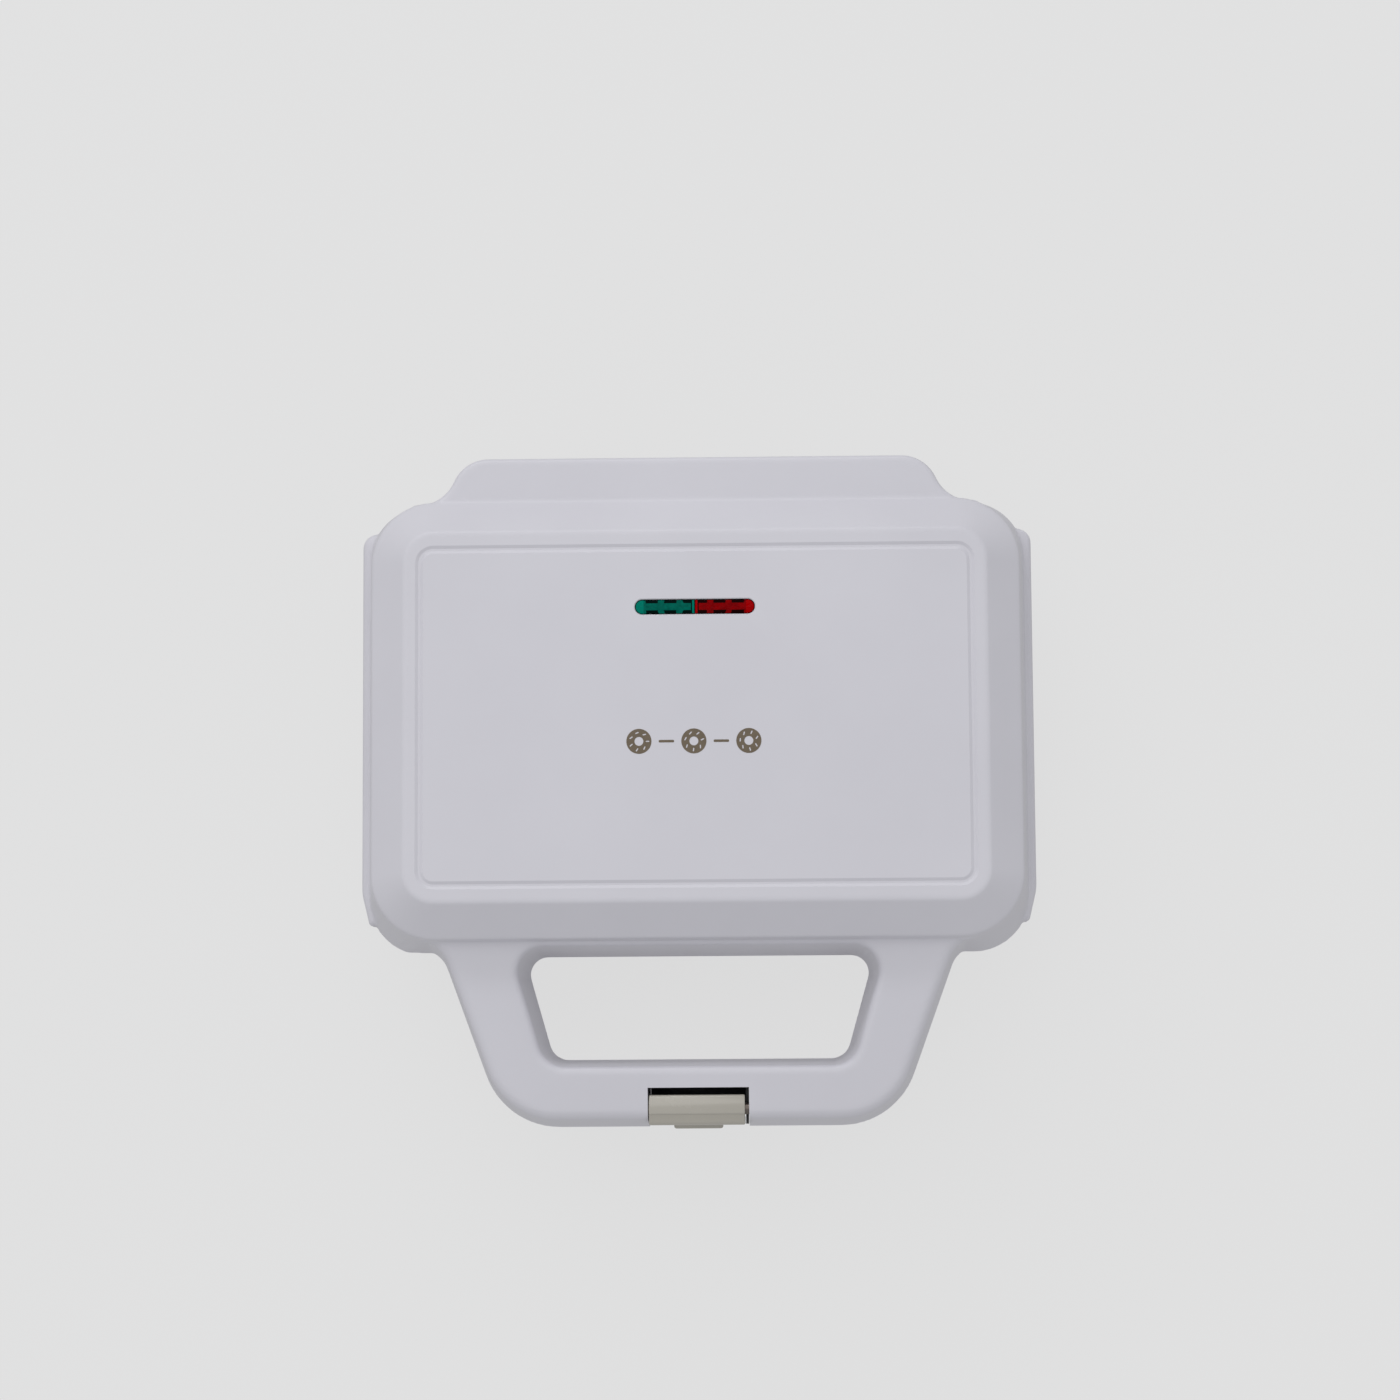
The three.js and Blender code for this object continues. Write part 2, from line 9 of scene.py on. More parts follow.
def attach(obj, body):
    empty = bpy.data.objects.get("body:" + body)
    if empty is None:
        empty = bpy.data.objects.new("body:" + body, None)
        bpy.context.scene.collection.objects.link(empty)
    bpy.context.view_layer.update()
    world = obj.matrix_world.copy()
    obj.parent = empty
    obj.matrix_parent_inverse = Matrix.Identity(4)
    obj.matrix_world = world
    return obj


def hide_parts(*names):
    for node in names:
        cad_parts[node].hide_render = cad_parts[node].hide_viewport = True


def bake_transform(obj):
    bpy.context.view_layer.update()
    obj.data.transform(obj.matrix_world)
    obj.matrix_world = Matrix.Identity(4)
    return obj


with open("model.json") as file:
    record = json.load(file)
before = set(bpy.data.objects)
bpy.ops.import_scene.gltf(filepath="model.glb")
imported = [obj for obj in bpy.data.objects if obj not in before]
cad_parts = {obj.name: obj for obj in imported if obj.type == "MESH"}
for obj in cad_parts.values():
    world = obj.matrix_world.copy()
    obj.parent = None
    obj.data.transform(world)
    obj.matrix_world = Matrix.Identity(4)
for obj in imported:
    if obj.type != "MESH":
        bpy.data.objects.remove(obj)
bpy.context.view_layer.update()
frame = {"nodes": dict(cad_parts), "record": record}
print("frame loaded:", len(frame["nodes"]), "nodes")

# camera first: nearly straight down, leaning a little to the handle side
cameraSettings = {
    "lens": 92.7,
    "sensor": 36.0,
    "place": (0.0226, -0.1060, 1.2920),
    "right": (0.99980, -0.00680, -0.01830),
    "up": (0.00880, 0.99386, 0.11029),
}


def makeCamera(settings):
    data = bpy.data.cameras.new("camera")
    data.lens = settings["lens"]
    data.sensor_width = settings["sensor"]
    data.clip_start = 0.02
    camera = bpy.data.objects.new("camera", data)
    bpy.context.scene.collection.objects.link(camera)
    right = Vector(settings["right"]).normalized()
    back = right.cross(Vector(settings["up"])).normalized()
    up = back.cross(right)
    turn = Matrix((right, up, back)).transposed().to_4x4()
    camera.matrix_world = Matrix.Translation(settings["place"]) @ turn
    bpy.context.scene.camera = camera


makeCamera(cameraSettings)

# ---- sizes the pieces share, in millimetres from the parting plane
maker = {
    "shiftY": 22.5,          # the lid's middle stands this far behind the origin
    "parting": 48.0,         # height of the parting plane over the table
    "gap": 0.5,
    "top": 44.0,
    "chamferEdge": 34.0,
    "chamferRun": 12.0,
    "halfX": 110.0,
    "halfY": 74.4,
    "corner": 22.0,
    "tighten": 0.8,          # how much the corners tighten for each millimetre of draft
    "wall": 2.5,
    "draft": math.tan(math.radians(6.5)),
    "handleRear": 30.0,      # the handle's top where it leaves the body
    "handleSlope": (30.0 - 21.5) / 58.0,
    "handleFront": -137.3,
    "hingeY": 84.0,
    "pivotY": -131.2,
    "pivotZ": 18.0,
    "slotY": 36.5,
    "hingeX": 66.0,          # how far each hinge stands from the middle
    "screwPilot": 1.6,
    "pinBore": 2.3,
    "pinRadius": 2.0,
}


def skirt(z):
    return (maker["chamferEdge"] - z) * maker["draft"]


def handleTop(y):
    return maker["handleRear"] + (y + 76.0) * maker["handleSlope"]


# ---- outlines

def roundedLoop(corners, arcStep=5.0, closed=True):
    # corners are (x, y, radius); every radius becomes an arc
    points = []
    count = len(corners)
    for i, (x, y, radius) in enumerate(corners):
        corner = Vector((x, y))
        ends = not closed and i in (0, count - 1)
        if radius <= 0 or ends:
            points.append(corner)
            continue
        before = Vector(corners[i - 1][:2])
        after = Vector(corners[(i + 1) % count][:2])
        back = (before - corner).normalized()
        ahead = (after - corner).normalized()
        half = math.acos(max(-1.0, min(1.0, back.dot(ahead)))) / 2
        reach = radius / math.tan(half)
        middle = corner + (back + ahead).normalized() * radius / math.sin(half)
        start = corner + back * reach - middle
        end = corner + ahead * reach - middle
        begin = math.atan2(start.y, start.x)
        turn = math.atan2(start.x * end.y - start.y * end.x, start.dot(end))
        steps = max(2, math.ceil(abs(math.degrees(turn)) / arcStep))
        for k in range(steps + 1):
            angle = begin + turn * k / steps
            points.append(middle + radius * Vector((math.cos(angle), math.sin(angle))))
    if closed:
        area = sum(a.x * b.y - a.y * b.x for a, b in zip(points, points[1:] + points[:1]))
        if area < 0:
            points.reverse()
    return points


def box2d(halfX, halfY, radius, x=0.0, y=0.0, arcStep=5.0):
    corners = [(x + sx * halfX, y + sy * halfY, radius) for sx, sy in ((1, -1), (1, 1), (-1, 1), (-1, -1))]
    return roundedLoop(corners, arcStep)


def mirrored(corners):
    return corners + [(-x, y, radius) for x, y, radius in reversed(corners)]


def grown(points, amount):
    moved = []
    count = len(points)
    for i, point in enumerate(points):
        one = (point - points[i - 1]).normalized()
        two = (points[(i + 1) % count] - point).normalized()
        normal = Vector((one.y + two.y, -one.x - two.x))
        moved.append(point + normal * amount / (1 + one.dot(two)))
    return moved


def bodyRing(grow):
    # the skirt's corners stay tighter than its draft alone would leave them
    corner = maker["corner"] + (grow if grow < 0 else -maker["tighten"] * grow)
    return box2d(maker["halfX"] + grow, maker["halfY"] + grow, corner)


def bodyInside(inset):
    return lambda grow: grown(bodyRing(grow + inset), -inset)


# right-hand halves of the outlines, as (x, y, radius)
handleCorners = [(98, -70, 0), (98, -76.5, 0), (89.2, -76.5, 9.5), (67, maker["handleFront"], 27)]
gapCorners = [(60.2, -79, 6), (50.1, -114.3, 6.7)]
housingCorners = [(95.5, 70, 0), (95.5, 73.5, 0), (85.5, 73.5, 13.5), (78.4, 89.2, 12.5)]
handleLoop = roundedLoop(mirrored(handleCorners))
gapLoop = roundedLoop(mirrored(gapCorners))
housingLoop = roundedLoop(mirrored(housingCorners))


# ---- solids, all drawn in millimetres and put in place at the end

def newPiece(name, work):
    mesh = bpy.data.meshes.new(name)
    work.normal_update()
    work.to_mesh(mesh)
    work.free()
    piece = bpy.data.objects.new(name, mesh)
    bpy.context.scene.collection.objects.link(piece)
    return piece


def loft(name, points, levels):
    # a level is (height, grow); a height may be a rule of y, and the outline a rule of grow
    work = bmesh.new()
    rings = []
    for height, grow in levels:
        ring = points(grow) if callable(points) else grown(points, grow)
        level = [(p.x, p.y, height(p.y) if callable(height) else height) for p in ring]
        rings.append([work.verts.new(place) for place in level])
    count = len(rings[0])
    for low, high in zip(rings, rings[1:]):
        for i in range(count):
            k = (i + 1) % count
            work.faces.new((low[i], low[k], high[k], high[i]))
    work.faces.new(list(reversed(rings[0])))
    work.faces.new(rings[-1])
    return newPiece(name, work)


def block(name, x0, x1, y0, y1, z0, z1):
    work = bmesh.new()
    bmesh.ops.create_cube(work, size=1.0)
    for vert in work.verts:
        vert.co.x = (x0 + x1) / 2 + vert.co.x * (x1 - x0)
        vert.co.y = (y0 + y1) / 2 + vert.co.y * (y1 - y0)
        vert.co.z = (z0 + z1) / 2 + vert.co.z * (z1 - z0)
    return newPiece(name, work)


def lathe(name, profile, sides=48, at=(0, 0, 0), axis="Z"):
    # profile is (radius, height) from axis to axis, or closing on itself
    work = bmesh.new()
    rings = []
    for radius, height in profile:
        if radius < 1e-6:
            rings.append([work.verts.new((0, 0, height))] * sides)
            continue
        angles = [2 * math.pi * i / sides for i in range(sides)]
        rings.append([work.verts.new((radius * math.cos(a), radius * math.sin(a), height)) for a in angles])
    closing = profile[0][0] > 1e-6
    pairs = list(zip(rings, rings[1:] + rings[:1])) if closing else list(zip(rings, rings[1:]))
    for low, high in pairs:
        for i in range(sides):
            k = (i + 1) % sides
            corners = list(dict.fromkeys((low[i], low[k], high[k], high[i])))
            if len(corners) > 2:
                work.faces.new(corners)
    bmesh.ops.recalc_face_normals(work, faces=work.faces)
    turns = {
        "X": Matrix.Rotation(math.pi / 2, 4, "Y"),
        "Y": Matrix.Rotation(math.pi / 2, 4, "X"),
        "Z": Matrix.Identity(4),
    }
    bmesh.ops.transform(work, matrix=Matrix.Translation(at) @ turns[axis], verts=work.verts)
    return newPiece(name, work)


def rodX(name, x0, x1, y, z, radius, sides=48, bevel=0.3):
    half = (x1 - x0) / 2
    rim = radius - bevel
    profile = [(0, -half), (rim, -half), (radius, -half + bevel)]
    profile += [(radius, half - bevel), (rim, half), (0, half)]
    return lathe(name, profile, sides, ((x0 + x1) / 2, y, z), "X")


def rodZ(name, x, y, radius, low, high, sides=32):
    return lathe(name, [(0, low), (radius, low), (radius, high), (0, high)], sides, (x, y, 0))


def applyModifiers(piece):
    ready = piece.evaluated_get(bpy.context.evaluated_depsgraph_get())
    mesh = bpy.data.meshes.new_from_object(ready)
    old = piece.data
    piece.modifiers.clear()
    piece.data = mesh
    mesh.name = piece.name
    bpy.data.meshes.remove(old)
    return piece


def combine(piece, others, operation="DIFFERENCE"):
    for other in others:
        cut = piece.modifiers.new("cut", "BOOLEAN")
        cut.operation = operation
        cut.solver = "MANIFOLD"
        cut.object = other
    applyModifiers(piece)
    for other in others:
        bpy.data.objects.remove(other)
    return piece


def inPlace(piece, isUpper=True):
    side = 1 if isUpper else -1
    scale = Matrix.Diagonal((0.001, 0.001, 0.001 * side, 1.0))
    shift = Matrix.Translation((0, maker["shiftY"] / 1000, maker["parting"] / 1000))
    piece.data.transform(shift @ scale)
    if not isUpper:
        piece.data.flip_normals()
    return piece


def soften(piece, voxel, rounds):
    # one skin over the joined solids, with every edge and joint lightly rounded
    remesh = piece.modifiers.new("skin", "REMESH")
    remesh.mode = "VOXEL"
    remesh.voxel_size = voxel
    remesh.use_smooth_shade = True
    smooth = piece.modifiers.new("smooth", "SMOOTH")
    smooth.factor = 0.5
    smooth.iterations = rounds
    return applyModifiers(piece)


def shadeSmooth(piece, angle=35):
    for polygon in piece.data.polygons:
        polygon.use_smooth = True
    piece.data.set_sharp_from_angle(angle=math.radians(angle))
    return piece


def filletProfile(corners, arcStep=15):
    return [(p.y, p.x) for p in roundedLoop(corners, arcStep, closed=False)]


# ---- casing halves
casing = {
    "chamferRound": 2.0,
    "topRound": 1.1,
    "handleRound": 3.0,
    "holeRound": 2.3,
    "housingRound": 1.4,
    "voxel": 0.66,
    "smoothing": 3,
    "keep": 0.34,
}
notch = {"left": -17.4, "right": 16.8, "rear": -121.5, "lip": -124.1, "lipLow": 19.5, "cheek": 3.0}
groove = {"halfX": 92.8, "halfY": 56.6, "corner": 4.7, "top": 1.35, "floor": 0.35, "depth": 0.55}


def bodyLevels():
    low = maker["gap"]
    corners = [
        (skirt(low) - 0.8, low, 0),
        (skirt(low + 0.8), low + 0.8, 0),
        (0, maker["chamferEdge"], casing["chamferRound"]),
        (-maker["chamferRun"], maker["top"], casing["topRound"]),
        (-maker["chamferRun"] - 8, maker["top"], 0),
    ]
    return filletProfile(corners)


def cavityLevels():
    slope = maker["chamferRun"] / (maker["top"] - maker["chamferEdge"])
    inset = maker["wall"] * math.hypot(slope, 1)
    ceiling = maker["top"] - maker["wall"]
    crease = maker["chamferEdge"] - (inset - maker["wall"]) / (slope + maker["draft"])
    return [
        (-2, skirt(-2) - maker["wall"]),
        (crease, skirt(crease) - maker["wall"]),
        (ceiling, -(ceiling - maker["chamferEdge"]) * slope - inset),
    ]


def handleLevels(drop, inset, outward):
    # from the parting plane up to the sloping top, rounded over by `drop`
    low = maker["gap"] - (2 if inset else 0)
    levels = [(low, -inset if outward else inset)]
    for step in range(7):
        angle = math.radians(15 * step)
        sink = drop * (1 - math.sin(angle))
        pull = drop * (1 - math.cos(angle))
        lean = (24 - sink) * maker["draft"]
        grow = -lean - pull - inset if outward else lean + pull + inset
        levels.append((lambda y, s=sink: handleTop(y) - inset - s, grow))
    if not outward:
        levels[0] = (low - 2, inset - 0.3)
        levels.append((lambda y: handleTop(y) + 4, levels[-1][1] + 1.5))
    return levels


def handleSolid(name, inset=0.0):
    drop = casing["handleRound"] if not inset else 1.0
    outer = loft(name, handleLoop, handleLevels(drop, inset, True))
    hole = loft(name + "Hole", gapLoop, handleLevels(casing["holeRound"], inset, False))
    return combine(outer, [hole])


def housingSolid(name, low, high, inset, rounding):
    levels = [(low, skirt(low) - inset)]
    for step in range(5):
        angle = math.radians(22.5 * step)
        z = high - rounding * (1 - math.sin(angle))
        levels.append((z, skirt(z) - inset - rounding * (1 - math.cos(angle))))
    return loft(name, housingLoop, levels)


def railSolid(name, side):
    corners = [(106, 68.2, 0), (116, 68.2, 5.0), (116, -57, 14), (113.4, -68, 0.8), (106, -68, 0)]
    points = roundedLoop([(side * x, y, radius) for x, y, radius in corners])
    low = maker["gap"]
    levels = [(low, -0.4), (low + 0.4, 0), (4.6, 0), (5.4, -0.25), (6.0, -0.8), (6.3, -1.6)]
    return loft(name, points, levels)


def frameSpace(name, low, high, extra, withHousing):
    grow = extra - maker["wall"] - 0.4
    levels = [(low, skirt(low) + grow), (high, skirt(high) + grow)]
    shift = -skirt(maker["gap"])
    body = loft(name, bodyInside(-grow), levels)
    arms = loft(name + "Arms", handleLoop, [(z, g + shift) for z, g in levels])
    flare = (high - low) * maker["draft"]
    hole = loft(name + "Hole", gapLoop, [(low - 1, -grow), (high + 1, -grow + flare)])
    others = [combine(arms, [hole])]
    if withHousing:
        others.append(loft(name + "Rear", housingLoop, levels))
    return combine(body, others, "UNION")


frameScrews = [(68, -97), (-68, -97), (44, 84), (-44, 84)]


def screwsOf(isUpper):
    return [(x, y) for x, y in frameScrews if isUpper or y < 0]


def casingHalf(isUpper):
    name = "upperCasing" if isUpper else "lowerCasing"
    shell = loft(name, bodyRing, bodyLevels())
    housingLow = maker["gap"] if isUpper else 12.0
    joints = [
        handleSolid("handle"),
        housingSolid("housing", housingLow, maker["chamferEdge"], 0, casing["housingRound"]),
        railSolid("railRight", 1),
        railSolid("railLeft", -1),
    ]
    shell = combine(shell, joints, "UNION")
    hollow = handleSolid("hollow", maker["wall"])
    cheek = notch["cheek"]
    keepOut = [
        block("skirtKeep", -110, 110, -79.5, -60, -5, 44),
        block("cheeks", notch["left"] - cheek, notch["right"] + cheek, -145, notch["rear"] + 2.5, -6, 40),
    ]
    hollow = combine(hollow, keepOut)
    hollowLow = -2 if isUpper else 14.5
    rear = housingSolid("rear", hollowLow, maker["chamferEdge"] - maker["wall"], maker["wall"], 0.5)
    rear = combine(rear, [block("rearKeep", -110, 110, 60, 80, -6, 44)])
    cuts = [
        loft("cavity", bodyInside(maker["wall"]), cavityLevels()),
        hollow,
        rear,
        frameSpace("seat", -2, 3.5, 0.4, isUpper),
        block("wirePass", -10, 10, 70, 81, 7 if isUpper else 17, 23 if isUpper else 28),
    ]
    shell = combine(shell, cuts)
    bosses = []
    for x, y in screwsOf(isUpper):
        ceiling = 25.5 if y < 0 else 33
        bosses.append(rodZ("boss", x, y, 3.6, 3.6, ceiling))
    return combine(shell, bosses + hingeParts(isUpper), "UNION")


def hingeParts(isUpper):
    # ribs and eyes in the lid; eyes on stems, flush with the lid's back wall, in the base
    parts = []
    for side in (-1, 1):
        middle = side * maker["hingeX"]
        if isUpper:
            for x in (middle - side * 6.4, middle + side * 6.4):
                parts.append(block("rib", x - 1.3, x + 1.3, 79.2, 88.4, 0.5, 32))
                parts.append(rodX("eye", x - 1.3, x + 1.3, maker["hingeY"], 0, 5.0))
        else:
            parts.append(rodX("eye", middle - 4.4, middle + 4.4, maker["hingeY"], 0, 5.0))
            parts.append(block("stem", middle - 4.4, middle + 4.4, 79.4, 88.6, 0, 13))
            parts.append(block("stemCap", middle - 4.4, middle + 4.4, 84, 92.3, -0.3, 4.2))
    return parts


def sharpCuts(isUpper):
    # openings with crisp edges, made after the skin is softened
    cuts = [
        block("notchLow", notch["left"], notch["right"], -145, notch["rear"], -3, notch["lipLow"]),
        block("notchTop", notch["left"], notch["right"], -145, notch["lip"], 10, 40),
    ]
    cuts += [rodZ("pilot", x, y, maker["screwPilot"], 2, 16, 24) for x, y in screwsOf(isUpper)]
    for x in (-maker["hingeX"], maker["hingeX"]):
        cuts.append(rodX("pinHole", x - 9, x + 9, maker["hingeY"], 0, maker["pinBore"]))
        if isUpper:
            cuts.append(block("knuckleSlot", x - 4.8, x + 4.8, 82, 98, -3, 8.5))
    if isUpper:
        slotLevels = [(38, 0), (43.7, 0), (44.1, 0.4)]
        cuts += [
            loft("slot", box2d(20.2, 2.55, 2.5, 0, maker["slotY"]), slotLevels),
            block("cableSlot", -4.5, 4.5, 82, 98, -3, 8.5),
            rodX("latchHole", -19.5, 19.5, maker["pivotY"], maker["pivotZ"], maker["pinBore"]),
            grooveRing(),
        ]
    else:
        for x, y in foot["places"]:
            cuts.append(rodZ("footHole", x, y, 2.6, 38, 46))
        cuts += [loft("vent", box2d(1.6, 22, 1.55, i * 9), [(38, 0), (46, 0)]) for i in range(-3, 4)]
        cuts.append(rodZ("wireHole", 0, maker["hingeY"], 3.4, 11, 16))
        bore = [(0, -9), (5.5, -9), (5.5, 9), (0, 9)]
        cuts.append(lathe("glandHole", bore, 48, (gland["x"], 90, gland["depth"]), "Y"))
    return cuts


def crispGroove(shell):
    # the groove's edges stay sharp, so the flat top keeps one even shade
    mesh = shell.data
    work = bmesh.new()
    work.from_mesh(mesh)
    low = (maker["parting"] + maker["top"] - groove["depth"] - 0.05) / 1000
    reachX = (groove["halfX"] + 2) / 1000
    reachY = (groove["halfY"] + 2) / 1000
    for edge in work.edges:
        middle = (edge.verts[0].co + edge.verts[1].co) / 2
        inside = abs(middle.x) < reachX and abs(middle.y - maker["shiftY"] / 1000) < reachY
        if inside and middle.z > low and edge.calc_face_angle(0) > math.radians(12):
            edge.smooth = False
    work.to_mesh(mesh)
    work.free()


def grooveRing():
    # a channel with sloping walls round the lid's flat top
    top = maker["top"]
    low = top - groove["depth"]
    outline = box2d(groove["halfX"], groove["halfY"], groove["corner"])
    slope = (groove["top"] - groove["floor"]) / groove["depth"]
    outer = loft("groove", outline, [(low, groove["floor"]), (top + 0.5, groove["top"] + 0.5 * slope)])
    levels = [(low - 0.5, 0.5 * slope - groove["floor"]), (top + 1, -groove["top"] - slope)]
    return combine(outer, [loft("island", outline, levels)])


foot = {
    "profile": [
        (0, 40.2), (2.4, 40.2), (3.1, 41.0), (3.1, 41.3), (2.3, 41.6), (2.3, 44.3), (9.0, 44.3),
        (9.5, 44.8), (9.3, 46.2), (8.8, 47.6), (8.3, 48), (6.9, 48), (6.5, 47.5), (6.0, 47.5),
        (5.6, 48), (4.2, 48), (3.8, 47.5), (3.3, 47.5), (2.9, 48), (1.6, 48), (1.2, 47.2), (0, 47.2),
    ],
    "places": [(84, 48), (-84, 48), (84, -48), (-84, -48)],
}
gland = {
    "profile": [
        (3.6, -1.6), (4.0, -2.0), (6.2, -2.0), (6.8, -1.5), (6.8, -0.9), (6.4, -0.4), (5.1, -0.4),
        (5.0, 0.2), (5.0, 3.2), (5.4, 3.6), (5.4, 4.0), (4.9, 4.5), (3.9, 4.5), (3.6, 4.2),
    ],
    "x": -34, "y": 90.4, "depth": 23, "tilt": 96.5,
}


# ---- node groups that several materials share

def newGroup(name, inputs, outputs):
    group = bpy.data.node_groups.new(name, "ShaderNodeTree")
    for label, kind, value in inputs:
        socket = group.interface.new_socket(label, in_out="INPUT", socket_type=kind)
        socket.default_value = value
    for label, kind in outputs:
        group.interface.new_socket(label, in_out="OUTPUT", socket_type=kind)
    return group, group.nodes.new("NodeGroupInput"), group.nodes.new("NodeGroupOutput")


def addNode(tree, kind, values=None, **settings):
    node = tree.nodes.new("ShaderNode" + kind)
    for key, value in settings.items():
        setattr(node, key, value)
    for key, value in (values or {}).items():
        node.inputs[key].default_value = value
    return node


def addMath(tree, operation, first, second, clamp=False):
    node = addNode(tree, "Math", operation=operation, use_clamp=clamp)
    for i, value in enumerate((first, second)):
        if isinstance(value, (int, float)):
            node.inputs[i].default_value = value
        else:
            tree.links.new(value, node.inputs[i])
    return node.outputs[0]


def makeGrainGroup():
    # moulded surface: a fine pebble for bump and a slow cloud for tone
    group, given, result = newGroup(
        "mouldGrain",
        [("Fine", "NodeSocketFloat", 2600.0), ("Slow", "NodeSocketFloat", 24.0)],
        [("Height", "NodeSocketFloat"), ("Cloud", "NodeSocketFloat")],
    )
    place = addNode(group, "TexCoord")
    fine = addNode(group, "TexNoise", {"Detail": 2.0, "Roughness": 0.6})
    slow = addNode(group, "TexNoise", {"Detail": 4.0, "Roughness": 0.55})
    for node, label in ((fine, "Fine"), (slow, "Slow")):
        group.links.new(place.outputs["Object"], node.inputs["Vector"])
        group.links.new(given.outputs[label], node.inputs["Scale"])
    group.links.new(fine.outputs["Fac"], result.inputs["Height"])
    group.links.new(slow.outputs["Fac"], result.inputs["Cloud"])
    return group


def makeSpeckGroup():
    # a scatter of small dark specks of dust: 1 on a speck, 0 off it
    group, given, result = newGroup(
        "dustSpecks",
        [
            ("Scale", "NodeSocketFloat", 60.0),
            ("Size", "NodeSocketFloat", 0.03),
            ("Share", "NodeSocketFloat", 0.1),
        ],
        [("Mask", "NodeSocketFloat")],
    )
    place = addNode(group, "TexCoord")
    cells = addNode(group, "TexVoronoi", {"Randomness": 1.0})
    group.links.new(place.outputs["Object"], cells.inputs["Vector"])
    group.links.new(given.outputs["Scale"], cells.inputs["Scale"])
    near = addMath(group, "LESS_THAN", cells.outputs["Distance"], given.outputs["Size"])
    split = addNode(group, "SeparateColor")
    group.links.new(cells.outputs["Color"], split.inputs["Color"])
    chosen = addMath(group, "LESS_THAN", split.outputs["Red"], given.outputs["Share"])
    group.links.new(addMath(group, "MULTIPLY", near, chosen), result.inputs["Mask"])
    return group


def makeEdgeHighlightGroup():
    # 1 along convex edges, where a highlight is painted into the colour
    group, given, result = newGroup(
        "paintedEdgeHighlight",
        [("Low", "NodeSocketFloat", 0.52), ("High", "NodeSocketFloat", 0.6)],
        [("Mask", "NodeSocketFloat")],
    )
    geometry = addNode(group, "NewGeometry")
    ramp = addNode(group, "MapRange", clamp=True)
    group.links.new(geometry.outputs["Pointiness"], ramp.inputs["Value"])
    group.links.new(given.outputs["Low"], ramp.inputs["From Min"])
    group.links.new(given.outputs["High"], ramp.inputs["From Max"])
    group.links.new(ramp.outputs["Result"], result.inputs["Mask"])
    return group


grainGroup = makeGrainGroup()
speckGroup = makeSpeckGroup()
edgeHighlightGroup = makeEdgeHighlightGroup()


def placeGroup(tree, group, values):
    node = addNode(tree, "Group")
    node.node_tree = group
    for key, value in values.items():
        node.inputs[key].default_value = value
    return node


def mixColors(tree, factor, first, second):
    mix = addNode(tree, "Mix", data_type="RGBA")
    for socket, value in ((mix.inputs[0], factor), (mix.inputs[6], first), (mix.inputs[7], second)):
        if isinstance(value, (int, float)):
            socket.default_value = value
        elif isinstance(value, tuple):
            socket.default_value = (*value, 1.0)
        else:
            tree.links.new(value, socket)
    return mix.outputs[2]


def spread(tree, value, low, high):
    ramp = addNode(tree, "MapRange", {"From Min": 0.3, "From Max": 0.7, "To Min": low, "To Max": high})
    tree.links.new(value, ramp.inputs["Value"])
    return ramp.outputs["Result"]


def newMaterial(name):
    material = bpy.data.materials.new(name)
    material.use_nodes = True
    tree = material.node_tree
    return material, tree, tree.nodes["Principled BSDF"]


def addBump(tree, shader, height, strength, distance):
    bump = addNode(tree, "Bump", {"Strength": strength, "Distance": distance})
    tree.links.new(height, bump.inputs["Height"])
    tree.links.new(bump.outputs["Normal"], shader.inputs["Normal"])
    return bump


def mouldedMaterial(name, look):
    # any moulded or coated surface: tone cloud, fine grain, painted highlight on convex edges, dust
    material, tree, shader = newMaterial(name)
    grain = placeGroup(tree, grainGroup, {"Fine": look["fine"], "Slow": look["slow"]})
    edge = placeGroup(tree, edgeHighlightGroup, {})
    cloud = spread(tree, grain.outputs["Cloud"], 0.0, 1.0)
    tone = mixColors(tree, cloud, look["dark"], look["light"])
    # painted highlight: convex edges are mixed towards a lighter edge colour
    edgeHighlight = addMath(tree, "MULTIPLY", edge.outputs["Mask"], look["edge"])
    tone = mixColors(tree, edgeHighlight, tone, look["edgeHighlightColor"])
    if look.get("specks"):
        specks = placeGroup(tree, speckGroup, look["specks"])
        dust = addMath(tree, "MULTIPLY", specks.outputs["Mask"], 0.75)
        tone = mixColors(tree, dust, tone, look["speckColor"])
    tree.links.new(tone, shader.inputs["Base Color"])
    rough = spread(tree, grain.outputs["Cloud"], look["rough"][0], look["rough"][1])
    tree.links.new(rough, shader.inputs["Roughness"])
    shader.inputs["Metallic"].default_value = look.get("metallic", 0.0)
    shader.inputs["Specular IOR Level"].default_value = look.get("specular", 0.5)
    shader.inputs["Coat Weight"].default_value = look.get("coat", 0.0)
    shader.inputs["Coat Roughness"].default_value = look.get("coatRoughness", 0.15)
    addBump(tree, shader, grain.outputs["Height"], look["bump"], look["depth"])
    return material
